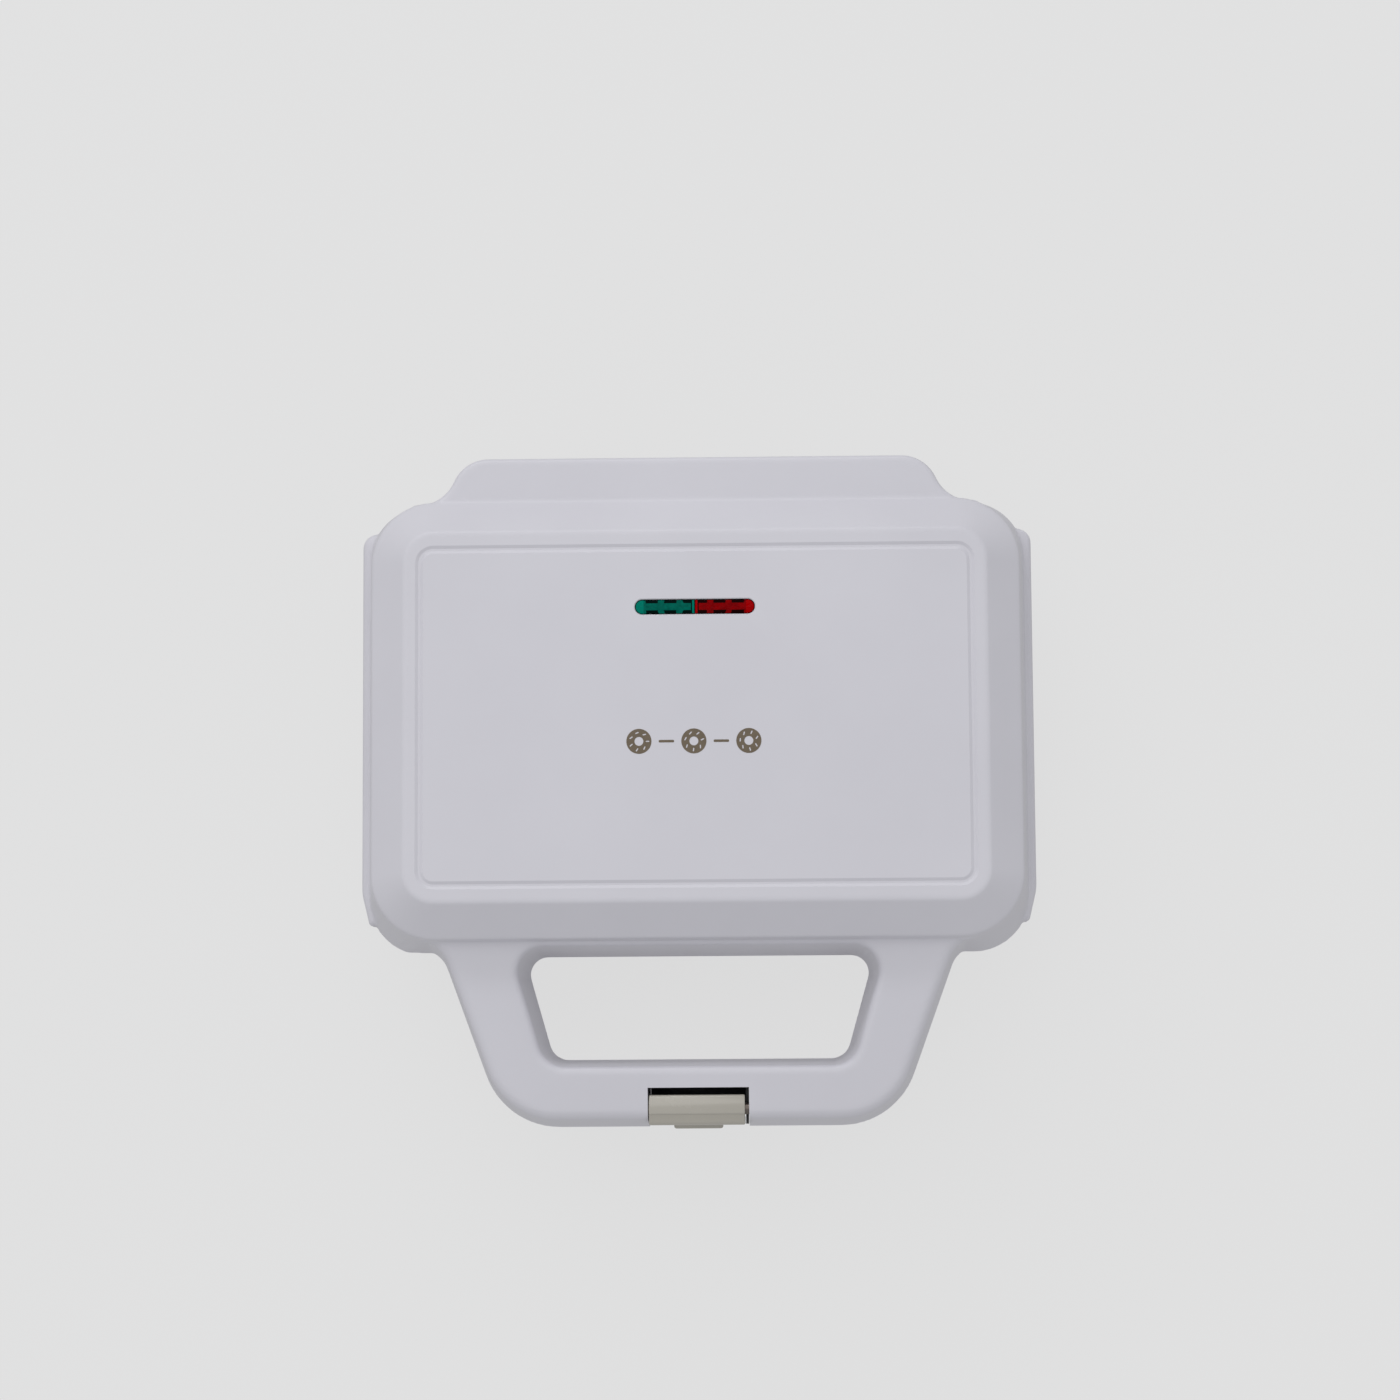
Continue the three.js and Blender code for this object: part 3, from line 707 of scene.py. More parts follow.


# the edge colour and its share paint a highlight along each surface's convex edges
looks = {
    "casing": {
        "dark": (0.640, 0.628, 0.672), "light": (0.668, 0.656, 0.700), "edgeHighlightColor": (0.74, 0.74, 0.77),
        "edge": 0.35, "fine": 2600.0, "slow": 18.0, "rough": (0.36, 0.42), "bump": 0.10, "depth": 0.00008,
        "specks": {"Scale": 70.0, "Size": 0.035, "Share": 0.055}, "speckColor": (0.16, 0.15, 0.17),
        "specular": 0.42,
    },
    "blackPlastic": {
        "dark": (0.010, 0.010, 0.011), "light": (0.018, 0.017, 0.018), "edgeHighlightColor": (0.06, 0.06, 0.062),
        "edge": 0.5, "fine": 1800.0, "slow": 30.0, "rough": (0.42, 0.55), "bump": 0.25, "depth": 0.0001,
    },
    "nonStick": {
        "dark": (0.014, 0.014, 0.015), "light": (0.024, 0.023, 0.024), "edgeHighlightColor": (0.10, 0.10, 0.10),
        "edge": 0.4, "fine": 3200.0, "slow": 40.0, "rough": (0.34, 0.46), "bump": 0.35, "depth": 0.00006,
        "metallic": 0.2, "specks": {"Scale": 900.0, "Size": 0.20, "Share": 0.12},
        "speckColor": (0.09, 0.09, 0.095),
    },
    "latchPlastic": {
        "dark": (0.412, 0.385, 0.330), "light": (0.432, 0.406, 0.350), "edgeHighlightColor": (0.60, 0.58, 0.53),
        "edge": 0.4, "fine": 900.0, "slow": 60.0, "rough": (0.20, 0.28), "bump": 0.04, "depth": 0.0001,
        "coat": 0.5, "coatRoughness": 0.12,
    },
    "rubber": {
        "dark": (0.022, 0.022, 0.023), "light": (0.034, 0.033, 0.034), "edgeHighlightColor": (0.09, 0.09, 0.09),
        "edge": 0.4, "fine": 2200.0, "slow": 120.0, "rough": (0.75, 0.9), "bump": 0.4, "depth": 0.0001,
        "specks": {"Scale": 500.0, "Size": 0.12, "Share": 0.1}, "speckColor": (0.20, 0.19, 0.18),
    },
    "ceramic": {
        "dark": (0.70, 0.65, 0.54), "light": (0.80, 0.76, 0.66), "edgeHighlightColor": (0.86, 0.83, 0.75),
        "edge": 0.5, "fine": 1500.0, "slow": 200.0, "rough": (0.55, 0.7), "bump": 0.4, "depth": 0.0001,
    },
    "circuitBoard": {
        "dark": (0.22, 0.14, 0.05), "light": (0.34, 0.23, 0.09), "edgeHighlightColor": (0.45, 0.34, 0.18),
        "edge": 0.5, "fine": 1400.0, "slow": 300.0, "rough": (0.5, 0.65), "bump": 0.3, "depth": 0.0001,
    },
    "markInk": {
        "dark": (0.115, 0.084, 0.049), "light": (0.150, 0.112, 0.070), "edgeHighlightColor": (0.2, 0.16, 0.11),
        "edge": 0.1, "fine": 2600.0, "slow": 400.0, "rough": (0.45, 0.55), "bump": 0.1, "depth": 0.00005,
    },
}


def metalMaterial(name, look):
    # drawn or turned metal: fine lines along one direction, a cloud of tarnish
    material, tree, shader = newMaterial(name)
    place = addNode(tree, "TexCoord")
    stretch = addNode(tree, "Mapping")
    stretch.inputs["Scale"].default_value = look["lines"]
    tree.links.new(place.outputs["Object"], stretch.inputs["Vector"])
    lines = addNode(tree, "TexNoise", {"Scale": 1.0, "Detail": 3.0})
    tree.links.new(stretch.outputs["Vector"], lines.inputs["Vector"])
    grain = placeGroup(tree, grainGroup, {"Slow": look["slow"]})
    cloud = spread(tree, grain.outputs["Cloud"], 0.0, 1.0)
    tree.links.new(mixColors(tree, cloud, look["dark"], look["light"]), shader.inputs["Base Color"])
    rough = spread(tree, lines.outputs["Fac"], look["rough"][0], look["rough"][1])
    tree.links.new(rough, shader.inputs["Roughness"])
    shader.inputs["Metallic"].default_value = 1.0
    addBump(tree, shader, lines.outputs["Fac"], look["bump"], 0.0001)
    return material


metalLooks = {
    "steel": {
        "dark": (0.46, 0.46, 0.45), "light": (0.58, 0.58, 0.57), "lines": (300, 4000, 4000),
        "slow": 150.0, "rough": (0.25, 0.38), "bump": 0.12,
    },
    # dark tarnished steel of the heating element; the latch pin takes it too, as painted shade for its place
    # in the latch's gap
    "elementAndShadedPinSteel": {
        "dark": (0.13, 0.12, 0.12), "light": (0.30, 0.25, 0.21), "lines": (1500, 1500, 1500),
        "slow": 60.0, "rough": (0.4, 0.55), "bump": 0.2,
    },
    "aluminium": {
        "dark": (0.70, 0.71, 0.72), "light": (0.80, 0.81, 0.82), "lines": (120, 3000, 3000),
        "slow": 30.0, "rough": (0.3, 0.42), "bump": 0.15,
    },
}


def lensMaterial(name, look):
    # coloured plastic over prisms, made opaque with its light and shade painted: dark blocks of painted
    # shade along both long sides, and bright ends and divider painted as light coming through the lens
    material, tree, shader = newMaterial(name)
    place = addNode(tree, "TexCoord")
    split = addNode(tree, "SeparateXYZ")
    tree.links.new(place.outputs["Object"], split.inputs["Vector"])
    across = addMath(tree, "ABSOLUTE", split.outputs["X"], 0.0)
    slotY = (maker["slotY"] + maker["shiftY"]) / 1000
    aside = addMath(tree, "ABSOLUTE", addMath(tree, "SUBTRACT", split.outputs["Y"], slotY), 0.0)
    grain = placeGroup(tree, grainGroup, {"Fine": 900.0, "Slow": 700.0})
    wobble = addMath(tree, "MULTIPLY", grain.outputs["Cloud"], look["wobble"])
    offset = addMath(tree, "SUBTRACT", across, look["first"])
    phase = addMath(tree, "MULTIPLY", offset, 2 * math.pi / look["pitch"])
    wave = addMath(tree, "COSINE", addMath(tree, "ADD", phase, wobble), 0.0)
    # painted shade: dark blocks repeating along both long sides of the lens
    shadeBlocks = addMath(tree, "GREATER_THAN", wave, look["share"])
    side = addMath(tree, "GREATER_THAN", aside, look["band"])
    inside = addMath(tree, "LESS_THAN", across, look["reach"])
    past = addMath(tree, "GREATER_THAN", across, look["divider"])
    middle = addMath(tree, "MULTIPLY", inside, past)
    dark = addMath(tree, "MULTIPLY", addMath(tree, "MULTIPLY", shadeBlocks, side), middle)
    line = addMath(tree, "COMPARE", across, look["divider"] + 0.0002)
    line.node.inputs[2].default_value = 0.0002
    # painted light: the bright colour at the ends and by the divider stands for light through the lens
    tone = mixColors(tree, grain.outputs["Cloud"], look["middle"], look["light"])
    tone = mixColors(tree, middle, look["light"], tone)
    tone = mixColors(tree, addMath(tree, "MAXIMUM", dark, line), tone, look["dark"])
    tree.links.new(tone, shader.inputs["Base Color"])
    shader.inputs["Roughness"].default_value = 0.14
    shader.inputs["IOR"].default_value = 1.49
    shader.inputs["Specular IOR Level"].default_value = 0.02
    addBump(tree, shader, grain.outputs["Cloud"], 0.1, 0.0002)
    return material


lensLook = {
    "wobble": 1.6, "first": 0.0028, "pitch": 0.0062, "share": -0.5, "band": 0.00118, "reach": 0.0172,
    "divider": 0.0009,
}
# light and middle paint light coming through the lens; dark paints the shade in the blocks
lensLooks = {
    "green": {
        **lensLook, "light": (0.0, 0.185, 0.132), "middle": (0.0, 0.046, 0.034), "dark": (0.0, 0.006, 0.005),
    },
    "red": {
        **lensLook, "light": (0.34, 0.0, 0.001), "middle": (0.075, 0.0, 0.001), "dark": (0.008, 0.0, 0.0),
    },
}


def sleeveMaterial(name):
    # braided glass fibre: two crossing sets of fine strands
    material, tree, shader = newMaterial(name)
    place = addNode(tree, "TexCoord")
    waves = []
    for turn in (0.7, -0.7):
        mapping = addNode(tree, "Mapping")
        mapping.inputs["Rotation"].default_value = (turn, turn, 0.0)
        tree.links.new(place.outputs["Object"], mapping.inputs["Vector"])
        wave = addNode(tree, "TexWave", {"Scale": 420.0, "Distortion": 0.6})
        tree.links.new(mapping.outputs["Vector"], wave.inputs["Vector"])
        waves.append(wave.outputs["Fac"])
    braid = addMath(tree, "MAXIMUM", waves[0], waves[1])
    tone = mixColors(tree, braid, (0.36, 0.33, 0.26), (0.72, 0.69, 0.60))
    tree.links.new(tone, shader.inputs["Base Color"])
    shader.inputs["Roughness"].default_value = 0.8
    addBump(tree, shader, braid, 0.6, 0.0003)
    return material


def glassMaterial(name):
    material, tree, shader = newMaterial(name)
    grain = placeGroup(tree, grainGroup, {"Slow": 200.0})
    cloud = spread(tree, grain.outputs["Cloud"], 0, 1)
    tone = mixColors(tree, cloud, (0.9, 0.72, 0.55), (1, 0.9, 0.8))
    tree.links.new(tone, shader.inputs["Base Color"])
    shader.inputs["Roughness"].default_value = 0.06
    shader.inputs["Transmission Weight"].default_value = 0.9
    return material


finish = {key: mouldedMaterial(key, look) for key, look in looks.items()}
finish.update({key: metalMaterial(key, look) for key, look in metalLooks.items()})
finish["greenLens"] = lensMaterial("greenLens", lensLooks["green"])
finish["redLens"] = lensMaterial("redLens", lensLooks["red"])
finish["braid"] = sleeveMaterial("braid")
finish["lampGlass"] = glassMaterial("lampGlass")
print("finishes:", len(finish))


def halfOf(isUpper):
    return ("upper", "lid") if isUpper else ("lower", "base")


def dress(piece, name, body, slot, material, *nodes):
    piece.name = name
    piece.data.name = name
    piece.data.materials.clear()
    piece.data.materials.append(finish[material])
    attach(piece, body)
    if nodes:
        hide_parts(*nodes)
    return piece


# ---- the casing
def makeCasing(isUpper):
    shell = soften(casingHalf(isUpper), casing["voxel"], casing["smoothing"])
    thin = shell.modifiers.new("thin", "DECIMATE")
    thin.ratio = casing["keep"]
    applyModifiers(shell)
    combine(shell, sharpCuts(isUpper))
    inPlace(shell, isUpper)
    shadeSmooth(shell, 60)
    if isUpper:
        crispGroove(shell)
    even = shell.modifiers.new("even", "WEIGHTED_NORMAL")
    even.keep_sharp = True
    even.weight = 100
    applyModifiers(shell)
    half, body = halfOf(isUpper)
    return dress(shell, half + "Casing", body, "casing", "casing", half + "_shell")


for upperHalf in (True, False):
    made = makeCasing(upperHalf)
    print(made.name, len(made.data.polygons), "faces")


# ---- black inner frames
innerFrame = {"windowX": 98.2, "windowY": 63.6, "plateFit": 0.4, "edge": 0.35}
plate = {
    "halfX": 103.0, "halfY": 67.0, "face": 0.4, "thick": 2.6, "pitchX": 66.0, "pitchY": 63.0,
    "outer": 29.0, "inner": 8.0, "depth": 12.0, "cast": 2.2, "lip": 1.2,
    "postX": 33, "screwX": 100.6, "screwY": 22,
}


def bevelEdges(piece, width, segments=2, angle=35):
    bevel = piece.modifiers.new("edges", "BEVEL")
    bevel.width = width
    bevel.segments = segments
    bevel.limit_method = "ANGLE"
    bevel.angle_limit = math.radians(angle)
    applyModifiers(piece)
    return shadeSmooth(piece)


def makeFrame(isUpper):
    face = maker["gap"] + 0.1
    rim = frameSpace("frame", face, 3.1, 0, isUpper)
    ledge = loft("ledge", bodyInside(3.5), [(3, skirt(3) - 3.5), (5.4, skirt(5.4) - 3.5)])
    rim = combine(rim, [ledge], "UNION")
    fit = innerFrame["plateFit"]
    cuts = [
        loft("recess", box2d(plate["halfX"] + fit, plate["halfY"] + fit, 6), [(-2, 0), (3.3, 0)]),
        loft("window", box2d(innerFrame["windowX"], innerFrame["windowY"], 8), [(-2, 0), (9, 0)]),
        block("latchGap", notch["left"], notch["right"], -145, -124, -2, 9),
    ]
    if isUpper:
        hinges = (maker["hingeX"], -maker["hingeX"])
        cuts += [block("knuckle", x - 8.6, x + 8.6, 78.6, 98, -2, 9) for x in hinges]
        cuts.append(block("cable", -5, 5, 80, 98, -2, 9))
    hole = [(0, -2), (3.1, -2), (3.1, 2.1), (1.6, 2.1), (1.6, 9), (0, 9)]
    cuts += [lathe("screwHole", hole, 40, (x, y, 0)) for x, y in screwsOf(isUpper)]
    rim = combine(rim, cuts)
    extras = [block("wall", notch["left"] + 0.2, notch["right"] - 0.2, -124, -121.9, face, 19)]
    if isUpper:
        extras.append(block("liner", notch["right"] - 1.1, notch["right"] - 0.2, -136.4, -123, face, 15.4))
    else:
        extras.append(block("lip", notch["left"] + 0.2, notch["right"] - 0.2, -132.1, -122, 9, 12))
    rim = combine(rim, extras, "UNION")
    bevelEdges(rim, innerFrame["edge"])
    inPlace(rim, isUpper)
    half, body = halfOf(isUpper)
    return dress(rim, half + "InnerFrame", body, "black_plastic", "blackPlastic", half + "_inner_frame")


def ringProfile():
    # the mould's half-round groove, opening with a small lip at the plate's face
    middle = (plate["outer"] + plate["inner"]) / 2
    half = (plate["outer"] - plate["inner"]) / 2
    lip = plate["lip"]
    face = plate["face"]
    profile = [(plate["outer"] + lip, -2), (plate["outer"] + lip, face)]
    for step in range(1, 5):
        angle = math.radians(22.5 * step)
        profile.append((plate["outer"] + lip * (1 - math.sin(angle)), face + lip * (1 - math.cos(angle))))
    for step in range(1, 20):
        angle = math.pi * step / 20
        height = face + lip + (plate["depth"] - lip) * math.sin(angle) ** 0.9
        profile.append((middle + half * math.cos(angle), height))
    for step in range(4, 0, -1):
        angle = math.radians(22.5 * step)
        profile.append((plate["inner"] - lip * (1 - math.sin(angle)), face + lip * (1 - math.cos(angle))))
    profile += [(plate["inner"] - lip, face), (plate["inner"] - lip, -2)]
    return profile


def makePlate(isUpper):
    face = plate["face"]
    bottom = face + plate["depth"] + plate["cast"]
    slab = loft("slab", box2d(plate["halfX"], plate["halfY"], 6), [
        (face, -0.5), (face + 0.15, -0.15), (face + 0.5, 0), (face + plate["thick"], -0.3),
    ])
    places = [(c * plate["pitchX"], r * plate["pitchY"] / 2) for c in (-1, 0, 1) for r in (-1, 1)]
    inner, outer = plate["inner"], plate["outer"]
    shape = [(inner - 2.6, 2.5), (inner - 1.6, bottom - 1), (inner - 0.6, bottom), (outer - 3, bottom),
             (outer - 1.2, bottom - 1), (outer + 2.2, 2.5)]
    cups = [lathe("cup", shape, 56, (x, y, 0)) for x, y in places]
    posts = (plate["postX"], -plate["postX"])
    cups += [rodZ("post", x, 0, 4.5, 2.5, 21.4) for x in posts]
    slab = combine(slab, cups, "UNION")
    cuts = [lathe("groove", ringProfile(), 72, (x, y, 0)) for x, y in places]
    pilot = maker["screwPilot"]
    cuts += [rodZ("pilot", x, 0, pilot, 13, 23, 20) for x in posts]
    for x in (plate["screwX"], -plate["screwX"]):
        cuts += [rodZ("pilot", x, y, pilot, 1.3, 5, 20) for y in (plate["screwY"], -plate["screwY"])]
    slab = combine(slab, cuts)
    shadeSmooth(slab, 30)
    inPlace(slab, isUpper)
    half, body = halfOf(isUpper)
    return dress(slab, half + "CookPlate", body, "nonstick_plate", "nonStick", half + "_cook_plate")


for upperHalf in (True, False):
    makeFrame(upperHalf)
    makePlate(upperHalf)
print("frames and plates made")


# ---- latch in the handle's front
latch = {
    "left": -17.05, "right": 15.35, "edge": 0.4, "tabLeft": -9.4, "tabRight": 7.6,
    "side": [
        (-136.7, -17.5, 0.8), (-133.8, -17.5, 0.6), (-133.8, 13.2, 0.8), (-126.5, 13.2, 3.4),
        (-126.5, 21.6, 1.2), (-129.0, 22.8, 5), (-132.9, 22.1, 0), (-133.2, 21.55, 0), (-136.7, 20.2, 2.2),
    ],
    "hook": [(-134, -12.3, 0), (-132.8, -13.1, 0.2), (-132.8, -13.7, 0.2), (-134, -15.4, 0)],
    "tab": [(-135.8, -17.5, 0), (-138.1, -17.2, 0.9), (-138.1, -12.9, 0.9), (-135.8, -11.4, 0)],
}


def prismX(name, corners, x0, x1, arcStep=10):
    # a side view of (y, z, radius) corners, stretched along the hinge's direction
    piece = loft(name, roundedLoop(corners, arcStep), [(x0, 0), (x1, 0)])
    turn = Matrix(((0, 0, 1, 0), (1, 0, 0, 0), (0, 1, 0, 0), (0, 0, 0, 1)))
    piece.data.transform(turn)
    return piece


def makeLatch():
    clip = prismX("clip", latch["side"], latch["left"], latch["right"])
    bevelEdges(clip, latch["edge"], 3, 50)
    tab = bevelEdges(prismX("tab", latch["tab"], latch["tabLeft"], latch["tabRight"]), 0.8, 3, 50)
    hook = prismX("hook", latch["hook"], -14.2, 14.2)
    clip = combine(clip, [tab, hook], "UNION")
    ribs = [block("rib", x - 0.7, x + 0.7, -134.5, -131.5, -9, 16) for x in (-13.5, -4.7, 4.7, 13.5)]
    for rib in ribs:
        for vert in rib.data.vertices:
            if vert.co.y > -133 and vert.co.z < 0:
                vert.co.y = -133.7
    clip = combine(clip, ribs, "UNION")
    clip = combine(clip, [rodX("hole", -20, 20, maker["pivotY"], maker["pivotZ"], maker["pinBore"])])
    shadeSmooth(clip, 32)
    inPlace(clip)
    dress(clip, "latchClip", "latch", "latch_plastic", "latchPlastic", "latch_clip")
    pin = rodX("pin", -18.6, 18.6, maker["pivotY"], maker["pivotZ"], maker["pinRadius"], 40, 0.4)
    inPlace(shadeSmooth(pin))
    # the latch pin is dressed darker than the hinge pins: painted shade for the dark gap it sits in
    dress(pin, "latchPin", "lid", "pin_steel", "elementAndShadedPinSteel", "latch_pin")


makeLatch()


# ---- hinge pins and the sleeved cable that bends between the halves
cable = {
    "route": [
        (72, -25), (80, -24), (84, -20), (84, -12), (84, -3), (84, 2.6), (83, 8), (78, 14), (71.5, 20),
        (66, 26), (54, 28.8), (42, 29.2),
    ],
    "sleeve": 2.3, "wire": 1.75, "bend": 8.0, "steps": 8, "sides": 20,
}


def smoothRoute(points, steps):
    # a Catmull-Rom curve through the points
    ends = [points[0] * 2 - points[1]] + points + [points[-1] * 2 - points[-2]]
    route = []
    for a, b, c, d in zip(ends, ends[1:], ends[2:], ends[3:]):
        for k in range(steps):
            t = k / steps
            route.append(0.5 * (2 * b + (c - a) * t + (2 * a - 5 * b + 4 * c - d) * t ** 2
                                + (3 * b - a - 3 * c + d) * t ** 3))
    return route + [points[-1]]


def makeCable():
    route = smoothRoute([Vector((0, y, z)) for y, z in cable["route"]], cable["steps"])
    work = bmesh.new()
    rings = []
    for i, point in enumerate(route):
        tangent = (route[min(i + 1, len(route) - 1)] - route[max(i - 1, 0)]).normalized()
        side = Vector((1, 0, 0))
        up = side.cross(tangent)
        share = max(0.0, min(1.0, (point.z - 9) / 4))
        radius = cable["sleeve"] + (cable["wire"] - cable["sleeve"]) * share
        ring = []
        for k in range(cable["sides"]):
            angle = 2 * math.pi * k / cable["sides"]
            ring.append(work.verts.new(point + radius * (math.cos(angle) * side + math.sin(angle) * up)))
        rings.append(ring)
    for low, high in zip(rings, rings[1:]):
        for i in range(cable["sides"]):
            k = (i + 1) % cable["sides"]
            work.faces.new((low[i], low[k], high[k], high[i]))
    work.faces.new(rings[0])
    work.faces.new(rings[-1])
    bmesh.ops.recalc_face_normals(work, faces=work.faces)
    tube = inPlace(shadeSmooth(newPiece("hingeCable", work)))
    tube.data.materials.append(finish["braid"])
    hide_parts("hinge_sleeve", "lid_wiring")
    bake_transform(tube)


for middle, hand in ((-maker["hingeX"], "left"), (maker["hingeX"], "right")):
    hingePin = rodX("pin", middle - 8.4, middle + 8.4, maker["hingeY"], 0, maker["pinRadius"], 40, 0.4)
    inPlace(shadeSmooth(hingePin))
    dress(hingePin, hand + "HingePin", "base", "pin_steel", "steel", "hinge_pin_" + hand)
makeCable()


# ---- indicator: two coloured lenses that meet in the slot
indicator = {"halfX": 19.9, "halfY": 2.25, "end": 2.2, "edge": 0.3, "face": 43.85}


def makeLens(side):
    def outline(reach, halfY, radius):
        corners = [(0.12, -halfY, 0), (reach, -halfY, radius), (reach, halfY, radius), (0.12, halfY, 0)]
        return roundedLoop([(side * x, maker["slotY"] + y, r) for x, y, r in corners])

    edge = indicator["edge"]
    face = indicator["face"]
    window = loft("window", outline(indicator["halfX"], indicator["halfY"], indicator["end"]), [
        (40, 0), (face - edge, 0), (face - 0.3 * edge, -0.3 * edge), (face, -edge),
    ])
    flange = loft("flange", outline(21.4, 3.55, 2.6), [(39.2, 0), (41.2, 0)])
    lens = combine(window, [flange], "UNION")
    inPlace(shadeSmooth(lens, 40))
    color = "green" if side < 0 else "red"
    dress(lens, color + "Lens", "lid", color + "_lens", color + "Lens", color + "_lens")


for side in (-1, 1):
    makeLens(side)


# ---- feet and the cord's grommet
for i, (x, y) in enumerate(foot["places"]):
    footPad = inPlace(shadeSmooth(lathe("foot", foot["profile"], 56, (x, y, 0))), False)
    dress(footPad, "rubberFoot%d" % (i + 1), "base", "foot_rubber", "rubber", "rubber_foot_%d" % (i + 1))


def makeGland():
    ring = lathe("gland", gland["profile"], 56)
    tilt = Matrix.Rotation(math.radians(gland["tilt"]), 4, "X")
    ring.data.transform(Matrix.Translation((gland["x"], gland["y"], gland["depth"])) @ tilt)
    inPlace(shadeSmooth(ring), False)
    dress(ring, "cordGrommet", "base", "black_plastic", "blackPlastic", "cord_gland")


makeGland()


# ---- cross-head screws that hold the inner frames
screw = {"head": 2.7, "seat": 1.8, "face": 0.4, "shank": 1.25, "thread": 0.28, "pitch": 1.0, "tip": 15.0}


def makeScrew(isUpper, number, x, y):
    face = screw["face"]
    head = screw["head"]
    seat = screw["seat"]
    shank = screw["shank"]
    profile = [(0, face), (head - 0.9, face), (head - 0.3, face + 0.25), (head, face + 0.7)]
    profile += [(head, seat), (shank, seat)]
    turns = int((screw["tip"] - seat - 3) / screw["pitch"])
    for k in range(turns):
        z = seat + 1 + k * screw["pitch"]
        profile += [(shank, z), (shank + screw["thread"], z + 0.5), (shank, z + 0.8)]
    profile += [(shank * 0.9, screw["tip"] - 1.4), (0, screw["tip"])]
    turned = lathe("screw", profile, 32, (x, y, 0))
    spin = Matrix.Rotation(number * 1.1, 4, "Z")
    slots = []
    for half in ((1.5, 0.32), (0.32, 1.5)):
        slot = block("slot", -half[0], half[0], -half[1], half[1], face - 1, face + 0.85)
        slot.data.transform(Matrix.Translation((x, y, 0)) @ spin)
        slots.append(slot)
    turned = combine(turned, slots)
    inPlace(shadeSmooth(turned, 28), isUpper)
    half, body = halfOf(isUpper)
    node = "%s_frame_screw_%d" % (half, number)
    dress(turned, "%sFrameScrew%d" % (half, number), body, "screw_steel", "steel", node)


for upperHalf in (True, False):
    for i, (x, y) in enumerate(screwsOf(upperHalf)):
        makeScrew(upperHalf, i + 1, x, y)
print("latch, hinge, lenses, feet, grommet and screws made")


# ---- printed mark on the lid: a row of three small rings
mark = {
    "x": -0.6, "y": -8.9, "pitch": 18.4, "outer": 4.2, "inner": 1.5, "dash": 2.6, "thick": 0.06, "dots": 7,
    "dotReach": 2.9,
}


def makeMark():
    low = maker["top"] - 0.4
    high = maker["top"] + mark["thick"]
    parts = []
    cuts = []
    for k in (-1, 0, 1):
        x = mark["x"] + k * mark["pitch"]
        ring = [(mark["inner"], low), (mark["outer"], low), (mark["outer"], high), (mark["inner"], high)]
        parts.append(lathe("ring", ring, 64, (x, mark["y"], 0)))
        for dot in range(mark["dots"]):
            angle = 2 * math.pi * (dot + 0.2 * (k + 1)) / mark["dots"]
            sprinkle = loft("dot", box2d(0.62, 0.21, 0.2, 0, 0, 15), [(low - 1, 0), (high + 1, 0)])
            turn = Matrix.Rotation(angle * 2.6 + dot, 4, "Z")
            reach = mark["dotReach"]
            place = (x + reach * math.cos(angle), mark["y"] + reach * math.sin(angle), 0)
            sprinkle.data.transform(Matrix.Translation(place) @ turn)
            cuts.append(sprinkle)
    for k in (-0.5, 0.5):
        x = mark["x"] + k * mark["pitch"]
        parts.append(loft("dash", box2d(mark["dash"], 0.42, 0.4, x, mark["y"]), [(low, 0), (high, 0)]))
    whole = combine(parts[0], parts[1:], "UNION")
    whole = combine(whole, cuts)
    inPlace(shadeSmooth(whole, 30))
    dress(whole, "lidMark", "lid", "latch_plastic", "markInk")


makeMark()


# ---- finishes for the pieces kept from the frame
kept = {
    "element_steel": "elementAndShadedPinSteel", "bare_aluminium": "aluminium", "screw_steel": "steel",
    "pin_steel": "steel", "fuse_metal": "steel", "lamp_glass": "lampGlass",
    "circuit_board": "circuitBoard", "ceramic": "ceramic",
    "glass_sleeve": "braid", "black_plastic": "blackPlastic", "nonstick_plate": "nonStick",
    "latch_plastic": "latchPlastic", "foot_rubber": "rubber", "casing": "casing", "green_lens": "greenLens",
    "red_lens": "redLens",
}


def dressKeptNodes():
    # nodes still shown from the frame take the finish of their own slot
    slots = {part["node"]: part["material_slot"] for part in frame["record"]["subparts"]}
    count = 0
    for name, node in frame["nodes"].items():
        if node.hide_render:
            continue
        node.data.materials.clear()
        node.data.materials.append(finish[kept[slots[name]]])
        count += 1
    print("kept nodes dressed:", count)


dressKeptNodes()


# ---- floor and light
studio = {
    "floorTone": 0.10, "floorGlow": 0.665, "floorBounce": 0.42, "floorSize": 8.0,
    "world": (0.96, 0.975, 1.0), "worldStrength": 0.61, "backdrop": 0.74,
    "lamps": {
        "key": {
            "place": (-0.45, 0.70, 2.1), "size": (2.2, 2.2), "power": 11.5, "color": (1.0, 0.99, 0.98),
        },
        "strip": {
            "place": (-0.5, 1.9, 1.25), "size": (1.8, 0.16), "power": 10.0, "color": (0.97, 0.98, 1.0),
        },
    },
}


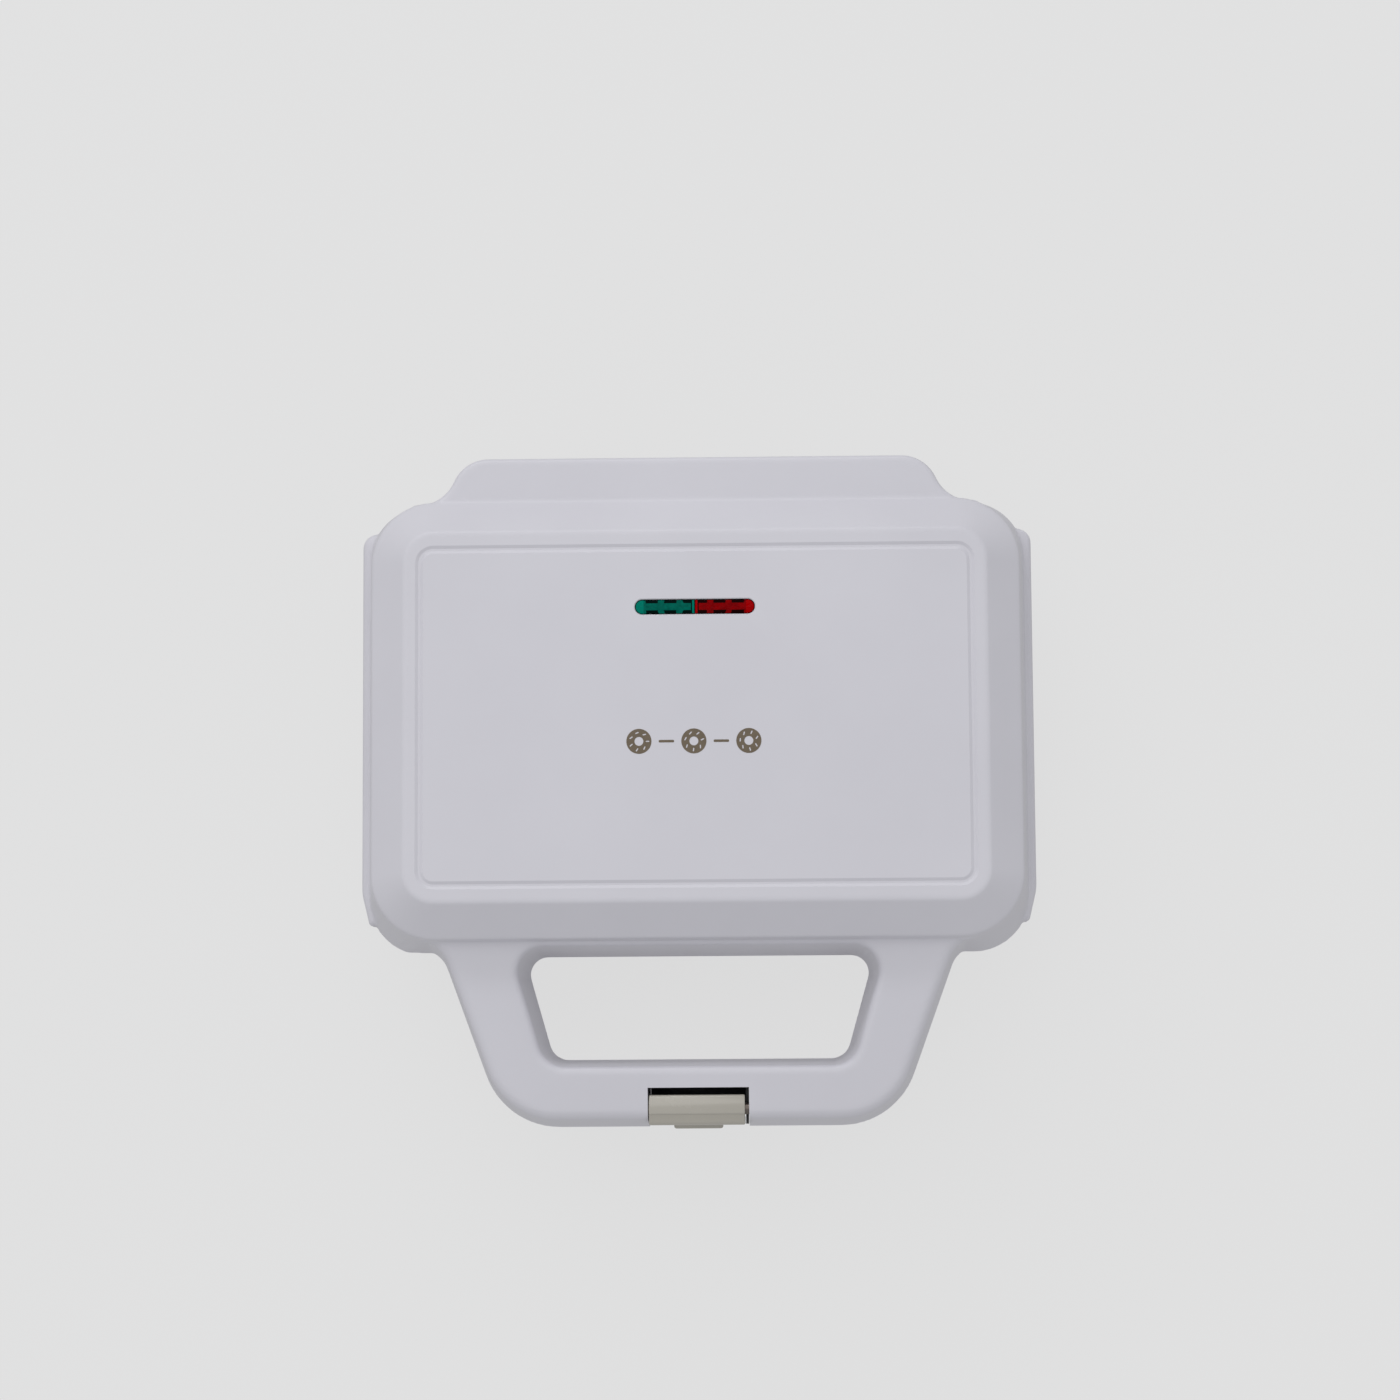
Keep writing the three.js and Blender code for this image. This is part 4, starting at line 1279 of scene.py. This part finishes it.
def makeFloor():
    # pale paper that glows a little, so that shadows on it stay faint
    size = studio["floorSize"] / 2
    mesh = bpy.data.meshes.new("floor")
    corners = [(-size, -size, 0), (size, -size, 0), (size, size, 0), (-size, size, 0)]
    mesh.from_pydata(corners, [], [(0, 1, 2, 3)])
    floor = bpy.data.objects.new("floor", mesh)
    bpy.context.scene.collection.objects.link(floor)
    material, tree, shader = newMaterial("paperFloor")
    grain = placeGroup(tree, grainGroup, {"Fine": 400.0, "Slow": 3.0})
    level = studio["floorTone"]
    tone = mixColors(tree, grain.outputs["Cloud"], (level * 0.98,) * 3, (level, level, level))
    tree.links.new(tone, shader.inputs["Base Color"])
    shader.inputs["Roughness"].default_value = 0.9
    shader.inputs["Specular IOR Level"].default_value = 0.1
    shader.inputs["Emission Color"].default_value = (1.0, 1.0, 1.0, 1.0)
    # the camera sees the full glow, and the object is lit by less of it
    seen = addNode(tree, "LightPath")
    extra = studio["floorGlow"] - studio["floorBounce"]
    toCamera = addMath(tree, "MULTIPLY", seen.outputs["Is Camera Ray"], extra)
    glow = addMath(tree, "ADD", toCamera, studio["floorBounce"])
    tree.links.new(glow, shader.inputs["Emission Strength"])
    mesh.materials.append(material)


def makeLight():
    world = bpy.data.worlds.new("studio")
    world.use_nodes = True
    tree = world.node_tree
    sky = tree.nodes["Background"]
    sky.inputs["Color"].default_value = (*studio["world"], 1.0)
    sky.inputs["Strength"].default_value = studio["worldStrength"]
    backdrop = addNode(tree, "Background", {"Strength": studio["backdrop"]})
    backdrop.inputs["Color"].default_value = (1.0, 1.0, 1.0, 1.0)
    seen = addNode(tree, "LightPath")
    mix = addNode(tree, "MixShader")
    tree.links.new(seen.outputs["Is Camera Ray"], mix.inputs[0])
    tree.links.new(sky.outputs[0], mix.inputs[1])
    tree.links.new(backdrop.outputs[0], mix.inputs[2])
    tree.links.new(mix.outputs[0], tree.nodes["World Output"].inputs["Surface"])
    bpy.context.scene.world = world
    for name, settings in studio["lamps"].items():
        data = bpy.data.lights.new(name, "AREA")
        data.shape = "RECTANGLE"
        data.size, data.size_y = settings["size"]
        data.energy = settings["power"]
        data.color = settings["color"]
        lamp = bpy.data.objects.new(name, data)
        lamp.location = settings["place"]
        aim = Vector((0, 0, 0.05)) - lamp.location
        lamp.rotation_euler = aim.to_track_quat("-Z", "Y").to_euler()
        bpy.context.scene.collection.objects.link(lamp)


makeFloor()
makeLight()
bpy.context.scene.view_settings.view_transform = "Standard"
